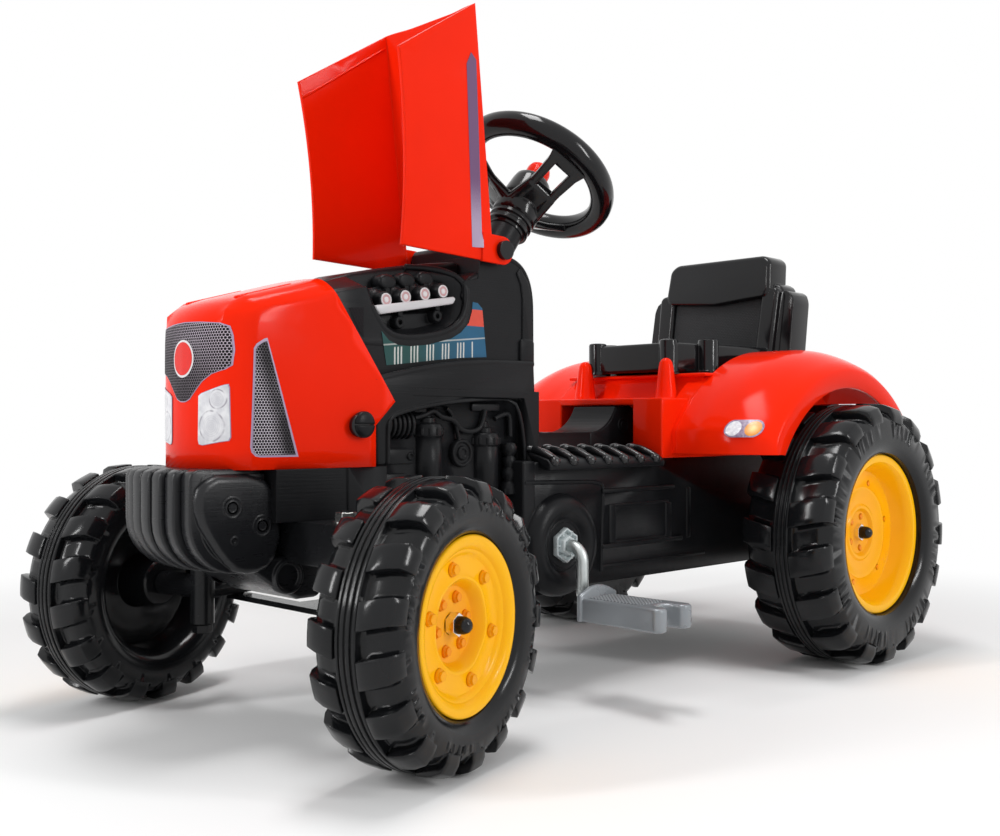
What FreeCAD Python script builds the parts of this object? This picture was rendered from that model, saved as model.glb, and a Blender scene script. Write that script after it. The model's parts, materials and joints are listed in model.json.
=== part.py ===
import FreeCAD, Part
import math
import os
import Sketcher

# Pedal tractor. Millimetres and degrees. +X is the rider's left, -Y is ahead, +Z is up.
# The origin is on the ground, under the middle of the whole toy.
SIZES = (
    # Whole tractor
    ("wheelbase", 511),
    ("origin_offset", 2.35),
    ("wall", 3),
    ("panel_wall", 2.5),
    ("gap", 1),
    ("fit", 0.05),
    ("overrun", 2),
    ("steer_angle", 15),
    # Rear wheels
    ("rear_wheel_radius", 117),
    ("rear_wheel_width", 83),
    ("rear_track", 337),
    ("rear_disc_radius", 70),
    ("rear_disc_inset", 15),
    ("rear_disc_depth", 22),
    ("rear_lug_height", 8),
    ("rear_lug_thickness", 21),
    # Front wheels
    ("front_wheel_radius", 91.7),
    ("front_wheel_width", 63.6),
    ("front_disc_radius", 54.6),
    ("front_disc_inset", 10),
    ("front_disc_depth", 13),
    ("front_lug_height", 7),
    ("front_lug_thickness", 16.5),
    # Both kinds of wheel
    ("disc_wall", 3),
    ("hub_radius", 17),
    ("lug_lean", 14),
    ("tread_groove", 16),
    ("side_inset", 6),
    ("bead_height", 12),
    # Front axle, kingpins and steering linkage
    ("kingpin_spread", 179.4),
    ("kingpin_radius", 4),
    ("stub_reach", 68),
    ("stub_radius", 5),
    ("sleeve_radius", 9),
    ("sleeve_height", 56),
    ("steer_arm_length", 40),
    ("steer_arm_thickness", 6),
    ("steer_arm_width", 14),
    ("steer_arm_drop", 3),
    ("tie_pin_radius", 3.5),
    ("tie_rod_width", 14),
    ("tie_rod_thickness", 4),
    ("tie_tab_length", 54),
    ("tie_tab_width", 34),
    ("drop_pin_clearance", 6),
    ("beam_half_length", 105),
    ("beam_depth", 30),
    ("beam_height", 28),
    ("nut_size", 13),
    ("nut_height", 6),
    ("washer_radius", 9),
    ("washer_height", 1.6),
    ("cap_radius", 5.6),
    ("cap_length", 7),
    # Steering column
    ("shaft_foot_behind", 45.26),
    ("shaft_foot_height", 115.48),
    ("steering_height", 431),
    ("steering_tilt", 36),
    ("rim_radius", 62.5),
    ("rim_thickness", 20),
    ("spoke_width", 22),
    ("spoke_thickness", 9),
    ("hub_top_radius", 21),
    ("hub_low_radius", 13),
    ("hub_drop", 10),
    ("hub_length", 38),
    ("shaft_radius", 5),
    ("column_tube_radius", 15),
    ("column_tube_length", 84),
    ("drop_arm_length", 40),
    ("drop_pin_length", 19),
    ("horn_radius", 9),
    ("horn_length", 17),
    ("horn_travel", 3),
    ("screw_radius", 2.5),
    # Chassis
    ("chassis_half_width", 68),
    ("chassis_bottom", 83),
    ("chassis_top", 185),
    ("chassis_front_behind", 189),
    ("chassis_nose_rise", 12),
    ("chassis_tail_behind", 76),
    ("chassis_tail_height", 124),
    ("engine_half_width", 55),
    ("engine_front_behind", 28),
    ("engine_rear_behind", 220),
    ("engine_bottom", 130),
    ("ridge_height", 241),
    ("bay_depth", 8),
    ("bay_margin", 11),
    ("bay_arch_radius", 20),
    ("nose_half_width", 54),
    ("nose_ahead", 30),
    ("nose_bottom", 150),
    ("spine_half_width", 24.5),
    ("spine_low_rise", 23),
    ("spine_high_height", 231),
    ("spine_ramp_radius", 40),
    ("spine_flat_length", 102),
    ("spine_ramp_length", 31),
    ("spine_fillet", 46),
    ("board_half_width", 80),
    ("board_thickness", 6),
    ("board_length", 132),
    ("board_tooth_width", 7),
    ("board_tooth_height", 7),
    ("crank_boss_radius", 37),
    ("crank_boss_reach", 72),
    ("axle_boss_radius", 22),
    ("axle_boss_reach", 118),
    ("filter_radius", 12.5),
    ("filter_height", 56),
    # Engine housing and insert
    ("housing_half_width", 46),
    ("housing_front_height", 303),
    ("housing_top_height", 347),
    ("housing_round", 28),
    ("housing_step_height", 328),
    ("recess_front_behind", 52),
    ("recess_rear_behind", 146),
    ("recess_floor", 274),
    ("insert_height", 42),
    ("insert_margin", 10),
    ("insert_cap_radius", 6.5),
    ("insert_cap_length", 17),
    ("insert_cap_rise", 10.5),
    ("fin_radius", 8),
    # Bonnet and its hinge
    ("hinge_behind", 179.5),
    ("hinge_height", 351),
    ("hinge_pin_radius", 4),
    ("hinge_lug_radius", 8),
    ("hinge_lug_width", 6),
    ("hinge_cap_radius", 7.5),
    ("hinge_cap_length", 4),
    ("hinge_ear_radius", 11),
    ("bonnet_open_angle", 92),
    ("bonnet_crown_drop", 8),
    ("bonnet_notch", 22),
    ("bonnet_top_length", 186),
    ("bonnet_top_drop", 36),
    ("bonnet_low_length", 129.5),
    ("bonnet_low_drop", 117),
    ("bonnet_rear_length", 10),
    ("bonnet_rear_drop", 103),
    ("bonnet_rear_half_width", 54.6),
    ("bonnet_crown_half_width", 52.5),
    ("bonnet_front_half_width", 62.6),
    ("bonnet_top_half_width", 53.7),
    # Front cowl
    ("cowl_ahead", 65),
    ("cowl_front_top_ahead", 62),
    ("cowl_floor", 185),
    ("cowl_foot_behind", 51),
    ("cowl_notch_rise", 29),
    ("cowl_corner_behind", 68),
    ("cowl_corner_height", 231),
    ("cowl_top_behind", 15),
    ("cowl_top_height", 315),
    ("cowl_front_height", 298),
    ("cowl_front_half_width", 48),
    ("cowl_rear_half_width", 59),
    ("cowl_top_half_width", 50),
    ("cowl_round", 9),
    ("cowl_step", 4),
    ("cowl_cap_radius", 8),
    ("cowl_cap_length", 6),
    # Front weights
    ("weight_ahead", 95),
    ("weight_half_width", 47),
    ("weight_bulge", 13),
    ("weight_bottom", 118),
    ("weight_round", 34),
    ("weight_groove_width", 2),
    ("weight_groove_depth", 4),
    ("weight_pitch", 13),
    # Crank, pedals and chain
    ("crank_ahead", 280.5),
    ("crank_height", 118),
    ("crank_rod_radius", 5),
    ("crank_arm_length", 46),
    ("crank_arm_reach", 92),
    ("crank_bend_radius", 12),
    ("crank_bush_radius", 13),
    ("crank_bush_flange", 4),
    ("crank_bush_neck", 8),
    ("pedal_length", 79),
    ("pedal_width", 44),
    ("pedal_height", 18),
    ("pedal_fork_length", 20),
    ("pedal_fork_width", 13),
    ("pedal_flange", 5),
    ("pedal_flange_rise", 6),
    ("retainer_radius", 8),
    ("retainer_length", 3),
    ("sprocket_thickness", 3),
    ("crank_sprocket_radius", 24),
    ("rear_sprocket_radius", 16),
    ("sprocket_boss_radius", 10),
    ("chain_offset", 22),
    ("chain_width", 5),
    ("chain_thickness", 6),
    ("chain_play", 0.6),
    # Rear axle and tow hitch
    ("rear_axle_radius", 5),
    ("rear_bush_radius", 10),
    ("rear_bush_flange", 14),
    ("hitch_bore_radius", 6),
    ("hitch_width", 44),
    ("hitch_tongue_length", 32),
    ("hitch_tongue_height", 152),
    ("hitch_thickness", 6),
    ("hitch_plate_height", 46),
    ("bolt_radius", 3),
    ("bolt_head_radius", 5.5),
    ("bolt_head_height", 4),
    ("bolt_length", 14),
    # Saddle with fenders
    ("saddle_front_ahead", 156),
    ("saddle_rear_behind", 92),
    ("saddle_half_width", 76),
    ("saddle_top", 262),
    ("saddle_sill", 238),
    ("saddle_step_length", 53),
    ("saddle_slope_length", 10),
    ("fender_radius", 168),
    ("fender_edge_radius", 152),
    ("fender_lip", 21),
    ("fender_flat", 118),
    ("fender_reach", 172),
    ("fender_inner", 80),
    ("deck_ahead", 100),
    ("fender_front_angle", 27),
    ("fender_rear_angle", 46),
    ("fender_round", 60),
    ("finger_radius", 7),
    ("finger_offset", 49),
    ("finger_rise", 15),
    # Seat
    ("seat_front_ahead", 107),
    ("seat_rear_behind", 78),
    ("seat_front_half_width", 51),
    ("seat_rear_half_width", 74),
    ("seat_top", 291),
    ("seat_foot", 264),
    ("back_front_behind", 31),
    ("back_thickness", 28),
    ("back_lean", 16),
    ("back_half_width", 74),
    ("back_height", 357),
    ("shoulder_half_width", 87),
    ("shoulder_foot", 298),
    ("headrest_half_width", 66),
    ("headrest_height", 386),
    ("headrest_round", 10),
    ("seat_boss_radius", 12),
)
LUG_COUNT = 17
WEIGHT_GROOVES = 6
BOARD_TEETH = 7
FILTER_SHARES = (0.324, 0.742)
INSERT_CAPS = 4
INSERT_CAP_SHARE = 0.88
SPOKES = 3
WHOLE_TURN = 360
QUARTER_TURN = 90

doc = FreeCAD.newDocument("pedal_tractor")
sheet = doc.addObject("Spreadsheet::Sheet", "sizes")
Vector = FreeCAD.Vector
X_AXIS = Vector(1, 0, 0)
Y_AXIS = Vector(0, 1, 0)
Z_AXIS = Vector(0, 0, 1)
nodes = {}


class Size:
    """A length that knows its value and the sheet formula that gives it."""

    def __init__(self, value, formula):
        self.value = float(value)
        self.formula = formula

    def __add__(self, other):
        return Size(self.value + number(other), f"({self.formula} + {formula(other)})")

    def __radd__(self, other):
        return Size(number(other) + self.value, f"({formula(other)} + {self.formula})")

    def __sub__(self, other):
        return Size(self.value - number(other), f"({self.formula} - {formula(other)})")

    def __rsub__(self, other):
        return Size(number(other) - self.value, f"({formula(other)} - {self.formula})")

    def __mul__(self, other):
        return Size(self.value * number(other), f"({self.formula} * {formula(other)})")

    __rmul__ = __mul__

    def __truediv__(self, other):
        return Size(self.value / number(other), f"({self.formula} / {formula(other)})")

    def __neg__(self):
        return Size(-self.value, f"(-{self.formula})")


class Sizes:
    """The sheet's sizes by name."""


def number(item):
    return item.value if isinstance(item, Size) else float(item)


def formula(item):
    return item.formula if isinstance(item, Size) else repr(float(item))


def sine(angle):
    return Size(math.sin(math.radians(angle.value)), f"sin({angle.formula} * 1 deg)")


def cosine(angle):
    return Size(math.cos(math.radians(angle.value)), f"cos({angle.formula} * 1 deg)")


def fill_sheet():
    sizes = Sizes()
    for row, (name, value) in enumerate(SIZES, start=1):
        sheet.set(f"A{row}", name)
        sheet.set(f"B{row}", str(value))
        sheet.setAlias(f"B{row}", name)
    doc.recompute()
    for name, _ in SIZES:
        setattr(sizes, name, Size(sheet.get(name), f"sizes.{name}"))
    return sizes


S = fill_sheet()
HALF = 0.5
FRONT = -(S.wheelbase / 2 + S.origin_offset)
REAR = S.wheelbase / 2 - S.origin_offset
CRANK = REAR - S.crank_ahead
SHAFT_LENGTH = (S.steering_height - S.shaft_foot_height) / cosine(S.steering_tilt)
STEERING = FRONT + S.shaft_foot_behind + SHAFT_LENGTH * sine(S.steering_tilt)
AXLE_FRONT = S.front_wheel_radius
AXLE_REAR = S.rear_wheel_radius
HINGE = FRONT + S.hinge_behind


def bind(item, **sizes):
    for prop, size in sizes.items():
        item.setExpression(prop, formula(size))


def put(item, x=0, y=0, z=0, axis=Z_AXIS, angle=0):
    """Place an object, its foot bound to the sheet."""
    item.Placement = FreeCAD.Placement(Vector(number(x), number(y), number(z)),
                                       FreeCAD.Rotation(axis, number(angle)))
    for letter, size in zip("xyz", (x, y, z)):
        if isinstance(size, Size):
            item.setExpression(f".Placement.Base.{letter}", size.formula)
    return item


def box(name, dx, dy, dz, x, y, z):
    item = doc.addObject("Part::Box", name)
    bind(item, Length=dx, Width=dy, Height=dz)
    return put(item, x, y, z)


def wide_box(name, half, y0, y1, z0, z1):
    """A box that is the same on the left and the right."""
    return box(name, half * 2, y1 - y0, z1 - z0, -half, y0, z0)


def rod(name, radius, length, x, y, z, axis=Y_AXIS, angle=QUARTER_TURN):
    """A round bar, lying along X unless it is turned another way."""
    item = doc.addObject("Part::Cylinder", name)
    bind(item, Radius=radius, Height=length)
    return put(item, x, y, z, axis, angle)


def post(name, radius, length, x, y, z):
    """A round bar standing up."""
    return rod(name, radius, length, x, y, z, Z_AXIS, 0)


def hexagon(name, across, length, x, y, z, axis=Y_AXIS, angle=QUARTER_TURN):
    item = doc.addObject("Part::Prism", name)
    item.Polygon = 6
    bind(item, Circumradius=across / math.sqrt(3), Height=length)
    return put(item, x, y, z, axis, angle)


def fuse(name, *items):
    item = doc.addObject("Part::MultiFuse", name)
    item.Shapes = list(items)
    item.Refine = False
    return item


def cut(name, base, *tools):
    item = doc.addObject("Part::Cut", name)
    item.Base = base
    item.Tool = tools[0] if len(tools) == 1 else fuse(name + "_tools", *tools)
    item.Refine = False
    return item


def common(name, *items):
    item = doc.addObject("Part::MultiCommon", name)
    item.Shapes = list(items)
    item.Refine = False
    return item


def group(name, *items):
    item = doc.addObject("Part::Compound", name)
    item.Links = list(items)
    return item


def mirrored(name, item):
    """The same piece on the tractor's other side."""
    twin = doc.addObject("Part::Mirroring", name)
    twin.Source = item
    twin.Normal = X_AXIS
    return twin


def node(name, item):
    item.Label = name
    nodes[name] = item
    return item


def arc_between(start, end, radius):
    """An arc under half a turn, bulging to the right of its way for a positive radius."""
    chord = end - start
    left = Vector(-chord.y, chord.x, 0).normalize()
    offset = math.sqrt(max(radius * radius - chord.Length * chord.Length / 4, 0))
    centre = start + chord / 2 + left * math.copysign(offset, radius)
    first, last = (start, end) if radius > 0 else (end, start)
    low = math.atan2(first.y - centre.y, first.x - centre.x)
    high = math.atan2(last.y - centre.y, last.x - centre.x)
    return Part.ArcOfCircle(Part.Circle(centre, Z_AXIS, abs(radius)), low, high)


def outline_sketch(body, name, plane, points):
    """A closed outline. A third value at a point is the radius of the arc that leads to it."""
    sketch = body.newObject("Sketcher::SketchObject", name)
    support = [item for item in body.Origin.OriginFeatures if item.Role == plane][0]
    sketch.AttachmentSupport = [(support, "")]
    sketch.MapMode = "FlatFace"
    places = [Vector(number(point[0]), number(point[1]), 0) for point in points]
    count = len(points)
    edges = []
    flipped = []
    for index in range(count):
        start, end = places[index], places[(index + 1) % count]
        target = points[(index + 1) % count]
        if len(target) == 3:
            edges.append(arc_between(start, end, number(target[2])))
            flipped.append(number(target[2]) < 0)
        else:
            edges.append(Part.LineSegment(start, end))
            flipped.append(False)
    sketch.addGeometry(edges, False)
    heads = [2 if turned else 1 for turned in flipped]
    tails = [1 if turned else 2 for turned in flipped]
    rules = []
    for index in range(count):
        following = (index + 1) % count
        rules.append(Sketcher.Constraint("Coincident", index, tails[index], following, heads[following]))
    bound = []
    for index, point in enumerate(points):
        for kind, size in (("DistanceX", point[0]), ("DistanceY", point[1])):
            bound.append((len(rules), size))
            rules.append(Sketcher.Constraint(kind, -1, 1, index, heads[index], number(size)))
        if len(point) == 3:
            bound.append((len(rules), abs_size(point[2])))
            rules.append(Sketcher.Constraint("Radius", (index - 1) % count, abs(number(point[2]))))
    sketch.addConstraint(rules)
    for index, size in bound:
        if isinstance(size, Size):
            sketch.setExpression(f"Constraints[{index}]", size.formula)
    return sketch


def abs_size(size):
    return -size if number(size) < 0 else size


def prism(name, plane, points, length, start=0, symmetric=True):
    """An outline pushed square to its plane, both ways or one way."""
    body = doc.addObject("PartDesign::Body", name)
    sketch = outline_sketch(body, name + "_outline", plane, points)
    pad = body.newObject("PartDesign::Pad", name + "_pad")
    pad.Profile = sketch
    pad.SideType = "Symmetric" if symmetric else "One side"
    bind(pad, Length=length)
    body.Tip = pad
    if isinstance(start, Size):
        put(body, 0, 0, start)
    return body


def side_prism(name, points, half):
    """A side view (Y, Z) pushed out to the same half width on both sides."""
    return prism(name, "YZ_Plane", points, half * 2)


def turning(name, points, angle=WHOLE_TURN):
    """A section (X, radius) turned round the X axis, first from upright towards the front."""
    body = doc.addObject("PartDesign::Body", name)
    sketch = outline_sketch(body, name + "_section", "XZ_Plane", points)
    turn = body.newObject("PartDesign::Revolution", name + "_turn")
    turn.Profile = sketch
    turn.ReferenceAxis = (sketch, ["H_Axis"])
    turn.Angle = angle
    body.Tip = turn
    return body


def wheel_body(name, radius, width, disc, inset, depth, lug, lug_width, bore):
    """A black moulded wheel: carcass with a dish each side, a web and two rows of leaning lugs."""
    half = width / 2
    carcass = radius - lug
    bead = disc + S.bead_height
    web_out = half - inset - depth
    web_in = web_out - S.wall * 2
    section = [
        (-half + S.side_inset, bore),
        (-half + S.side_inset, S.hub_radius),
        (web_in, S.hub_radius),
        (web_in, disc),
        (-half + S.side_inset, bead),
        (-half, bead + S.side_inset),
        (-half + S.side_inset, carcass - S.side_inset),
        (-half + S.side_inset * 2, carcass, S.side_inset * 2),
        (half - S.side_inset * 2, carcass),
        (half - S.side_inset, carcass - S.side_inset, S.side_inset * 2),
        (half, bead + S.side_inset),
        (half - S.side_inset, bead),
        (half - inset, disc + S.gap),
        (web_out, disc + S.gap),
        (web_out, bore),
    ]
    body = turning(name + "_carcass", [(a, b, -c[0]) if c else (a, b) for a, b, *c in section])
    lugs = []
    row_width = half - S.tread_groove / 2
    for side in (1, -1):
        for index in range(LUG_COUNT):
            turn = WHOLE_TURN / LUG_COUNT * (index + (HALF if side < 0 else 0))
            lugs.append(lug_piece(f"{name}_lug_{side}_{index}", side, turn, radius, row_width, lug,
                                  lug_width))
    return fuse(name, body, *lugs)


def lug_piece(name, side, turn, radius, row_width, height, thickness):
    """One leaning tread lug, set on the carcass at the given turn."""
    piece = doc.addObject("Part::Feature", name)
    start = S.tread_groove.value / 2
    long = row_width.value - S.side_inset.value
    deep = height.value + S.side_inset.value
    base = radius.value - deep
    lean = math.radians(S.lug_lean.value)
    shift = long * math.tan(lean)
    thick = thickness.value
    low = [Vector(start, -thick / 2, base), Vector(start + long, -thick / 2 + shift, base),
           Vector(start + long, thick / 2 + shift, base), Vector(start, thick / 2, base)]
    rise = Vector(0, 0, deep + S.overrun.value)
    solid = Part.Face(Part.makePolygon(low + low[:1])).extrude(rise)
    ring = Part.makeCylinder(radius.value, radius.value, Vector(), X_AXIS)
    solid = solid.common(ring)
    if side < 0:
        solid = solid.mirror(Vector(), X_AXIS)
    solid.rotate(Vector(), X_AXIS, turn)
    piece.Shape = solid
    return piece


def wheel_disc(name, width, disc, inset, depth, bore):
    """A yellow dish that sits in the wheel's outer side."""
    half = width / 2
    face = half - inset
    floor = half - inset - depth
    step = disc - S.bead_height
    section = [
        (floor, bore),
        (floor, step),
        (face - S.disc_wall, step + S.disc_wall),
        (face - S.disc_wall, disc),
        (face + S.disc_wall, disc),
        (face + S.disc_wall, disc - S.disc_wall),
        (face, disc - S.disc_wall * 2),
        (face, step + S.disc_wall),
        (floor + S.disc_wall, step - S.disc_wall),
        (floor + S.disc_wall, bore),
    ]
    return turning(name, section)


def wheels():
    """Four wheels with their discs. The front pair is steered as the toy stands."""
    kingpin = S.kingpin_spread / 2
    for side, word in ((1, "left"), (-1, "right")):
        for end in ("front", "rear"):
            front = end == "front"
            radius = S.front_wheel_radius if front else S.rear_wheel_radius
            width = S.front_wheel_width if front else S.rear_wheel_width
            disc = S.front_disc_radius if front else S.rear_disc_radius
            inset = S.front_disc_inset if front else S.rear_disc_inset
            depth = S.front_disc_depth if front else S.rear_disc_depth
            lug = S.front_lug_height if front else S.rear_lug_height
            thick = S.front_lug_thickness if front else S.rear_lug_thickness
            axle = S.stub_radius if front else S.rear_axle_radius
            pieces = (wheel_body(f"{end}_{word}_wheel_round", radius, width, disc, inset, depth, lug, thick,
                                 axle + S.fit),
                      wheel_disc(f"{end}_{word}_disc_round", width, disc, inset, depth, axle + S.fit))
            for kind, piece in zip(("wheel", "disc"), pieces):
                whole = group(f"{end}_{word}_{kind}_group", piece)
                turn = 0 if side > 0 else WHOLE_TURN / 2
                if front:
                    x = side * (kingpin + S.stub_reach * cosine(S.steer_angle))
                    y = FRONT + side * S.stub_reach * sine(S.steer_angle)
                    put(whole, x, y, radius, Z_AXIS, turn + S.steer_angle.value)
                else:
                    put(whole, side * S.rear_track / 2, REAR, radius, Z_AXIS, turn)
                node(f"{end}_{word}_{kind}", whole)


def front_axle():
    """Beam, kingpins, knuckles with stub axles, nuts, caps and the tie rod."""
    kingpin = S.kingpin_spread / 2
    low = AXLE_FRONT - S.sleeve_height / 2
    beam_top = S.nose_bottom
    beam = wide_box("beam_bar", S.beam_half_length, FRONT - S.beam_depth / 2, FRONT + S.beam_depth / 2,
                    beam_top - S.beam_height, beam_top)
    bolt_foot = low - S.gap - S.nut_height
    bolt_length = beam_top + S.washer_height + S.nut_height + S.gap - bolt_foot
    bolts, nuts, bores = [], [], []
    for side, word in ((1, "left"), (-1, "right")):
        x = side * kingpin
        shank = post(f"kingpin_shank_{word}", S.kingpin_radius, bolt_length, x, FRONT, bolt_foot)
        head = hexagon(f"kingpin_head_{word}", S.nut_size, S.nut_height, x, FRONT, bolt_foot, Z_AXIS, 0)
        bolts.append(fuse(f"kingpin_{word}", shank, head))
        washer = post(f"kingpin_washer_{word}", S.washer_radius, S.washer_height, x, FRONT, beam_top)
        top = hexagon(f"kingpin_top_{word}", S.nut_size, S.nut_height, x, FRONT,
                      beam_top + S.washer_height, Z_AXIS, 0)
        thread = post(f"kingpin_thread_{word}", S.kingpin_radius + S.fit, bolt_length, x, FRONT, bolt_foot)
        nuts.append(cut(f"kingpin_nut_{word}", fuse(f"kingpin_stack_{word}", washer, top), thread))
        bores.append(post(f"beam_bore_{word}", S.kingpin_radius + S.fit, bolt_length, x, FRONT, bolt_foot))
    beam_bolts = []
    for side, word in ((1, "left"), (-1, "right")):
        beam_bolts.append(bolt(f"beam_bolt_{word}", side * S.nose_half_width / 2, FRONT,
                               beam_top - S.beam_height, Z_AXIS, 0, S.beam_height + S.bolt_length))
    beam_bolt_group = node("axle_beam_bolts", group("axle_beam_bolts_group", *beam_bolts))
    node("front_axle_beam", cut("front_axle_beam_cut", beam, *bores, beam_bolt_group))
    node("kingpin_bolts", group("kingpin_bolts_group", *bolts))
    node("kingpin_nuts", group("kingpin_nuts_group", *nuts))

    half = S.front_wheel_width / 2
    hub_in = S.stub_reach - half + S.side_inset
    floor = S.stub_reach + half - S.front_disc_inset - S.front_disc_depth + S.disc_wall
    nut_start = floor + S.gap
    arm_low = AXLE_FRONT - S.steer_arm_thickness - S.steer_arm_drop
    for side, word in ((1, "left"), (-1, "right")):
        way = QUARTER_TURN * side
        sleeve = post(f"sleeve_{word}", S.sleeve_radius, S.sleeve_height, 0, 0, low)
        shoulder = rod(f"shoulder_{word}", S.sleeve_radius, hub_in - S.gap, 0, 0, AXLE_FRONT, Y_AXIS, way)
        stub = rod(f"stub_{word}", S.stub_radius, nut_start + S.nut_height + S.cap_length / 2, 0, 0,
                   AXLE_FRONT,
                   Y_AXIS, way)
        arm = box(f"steer_arm_{word}", S.steer_arm_width, S.steer_arm_length + S.steer_arm_width / 2,
                  S.steer_arm_thickness, -S.steer_arm_width / 2, 0, arm_low)
        pin_length = S.tie_rod_thickness + S.gap * 2
        pin = post(f"tie_pin_{word}", S.tie_pin_radius, pin_length + S.steer_arm_thickness, 0,
                   S.steer_arm_length, arm_low - pin_length)
        bore = post(f"sleeve_bore_{word}", S.kingpin_radius + S.fit, S.sleeve_height + S.overrun * 2, 0, 0,
                    low - S.overrun)
        knuckle = cut(f"knuckle_cut_{word}", fuse(f"knuckle_{word}", sleeve, shoulder, stub, arm, pin),
                      bore)
        nut_body = hexagon(f"axle_nut_body_{word}", S.nut_size, S.nut_height, side * nut_start, 0,
                           AXLE_FRONT,
                           Y_AXIS, way)
        thread = rod(f"axle_thread_{word}", S.stub_radius + S.fit, nut_start + S.nut_height * 2, 0, 0,
                     AXLE_FRONT,
                     Y_AXIS, way)
        nut = cut(f"axle_nut_cut_{word}", nut_body, thread)
        cap = axle_cap(f"axle_cap_{word}", side, nut_start + S.nut_height, AXLE_FRONT, S.stub_radius)
        for name, piece in ((f"{word}_knuckle", knuckle), (f"front_{word}_axle_nut", nut),
                            (f"front_{word}_axle_cap", cap)):
            whole = group(name + "_group", piece)
            put(whole, side * kingpin, FRONT, 0, Z_AXIS, S.steer_angle)
            node(name, whole)

    rod_low = arm_low - S.gap - S.tie_rod_thickness
    tie_y = FRONT + S.steer_arm_length
    bar = wide_box("tie_bar", kingpin + S.tie_rod_width / 2, tie_y - S.tie_rod_width / 2,
                   tie_y + S.tie_rod_width / 2, rod_low, rod_low + S.tie_rod_thickness)
    tab = wide_box("tie_tab", S.tie_tab_width / 2, tie_y, tie_y + S.tie_tab_length, rod_low,
                   rod_low + S.tie_rod_thickness)
    tilt = S.steering_tilt
    slot_y = FRONT + S.shaft_foot_behind + S.drop_arm_length * cosine(tilt)
    slot_half = S.tie_pin_radius + S.drop_pin_clearance
    slot = wide_box("tie_slot", slot_half, slot_y - slot_half, slot_y + slot_half, rod_low - S.overrun,
                    rod_low + S.tie_rod_thickness + S.overrun)
    bore_length = S.tie_rod_thickness + S.overrun * 2
    left_bore = post("tie_bore_left", S.tie_pin_radius + S.fit, bore_length, kingpin, tie_y,
                     rod_low - S.overrun)
    right_bore = post("tie_bore_right", S.tie_pin_radius + S.gap / 2, bore_length, -kingpin, tie_y,
                      rod_low - S.overrun)
    tie = group("tie_rod_group", cut("tie_rod_cut", fuse("tie_rod_bar", bar, tab), slot, left_bore,
                                     right_bore))
    put(tie, -S.steer_arm_length * sine(S.steer_angle), S.steer_arm_length * (cosine(S.steer_angle) - 1), 0)
    node("tie_rod", tie)


def axle_cap(name, side, start, height, bore):
    """A black push-on cap over an axle end."""
    way = QUARTER_TURN * side
    skirt = rod(name + "_skirt", S.cap_radius + S.wall / 2, S.cap_length / 2, side * start, 0, height,
                Y_AXIS, way)
    dome = doc.addObject("Part::Cone", name + "_dome")
    bind(dome, Radius1=S.cap_radius + S.wall / 2, Radius2=S.cap_radius * HALF, Height=S.cap_length / 2)
    put(dome, side * (start + S.cap_length / 2), 0, height, Y_AXIS, way)
    hole = rod(name + "_hole", bore + S.fit, S.cap_length / 2 + S.gap * 2, side * (start - S.gap), 0,
               height,
               Y_AXIS, way)
    return cut(name, fuse(name + "_whole", skirt, dome), hole)


def bolt(name, x, y, z, axis, angle, length):
    """A headed bolt whose head sits under the point that is given."""
    shank = rod(name + "_shank", S.bolt_radius, length, x, y, z, axis, angle)
    head_axis = X_AXIS if axis == Z_AXIS else axis
    head = rod(name + "_head", S.bolt_head_radius, S.bolt_head_height, x, y, z, head_axis,
               angle + 2 * QUARTER_TURN)
    return fuse(name, shank, head)


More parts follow.
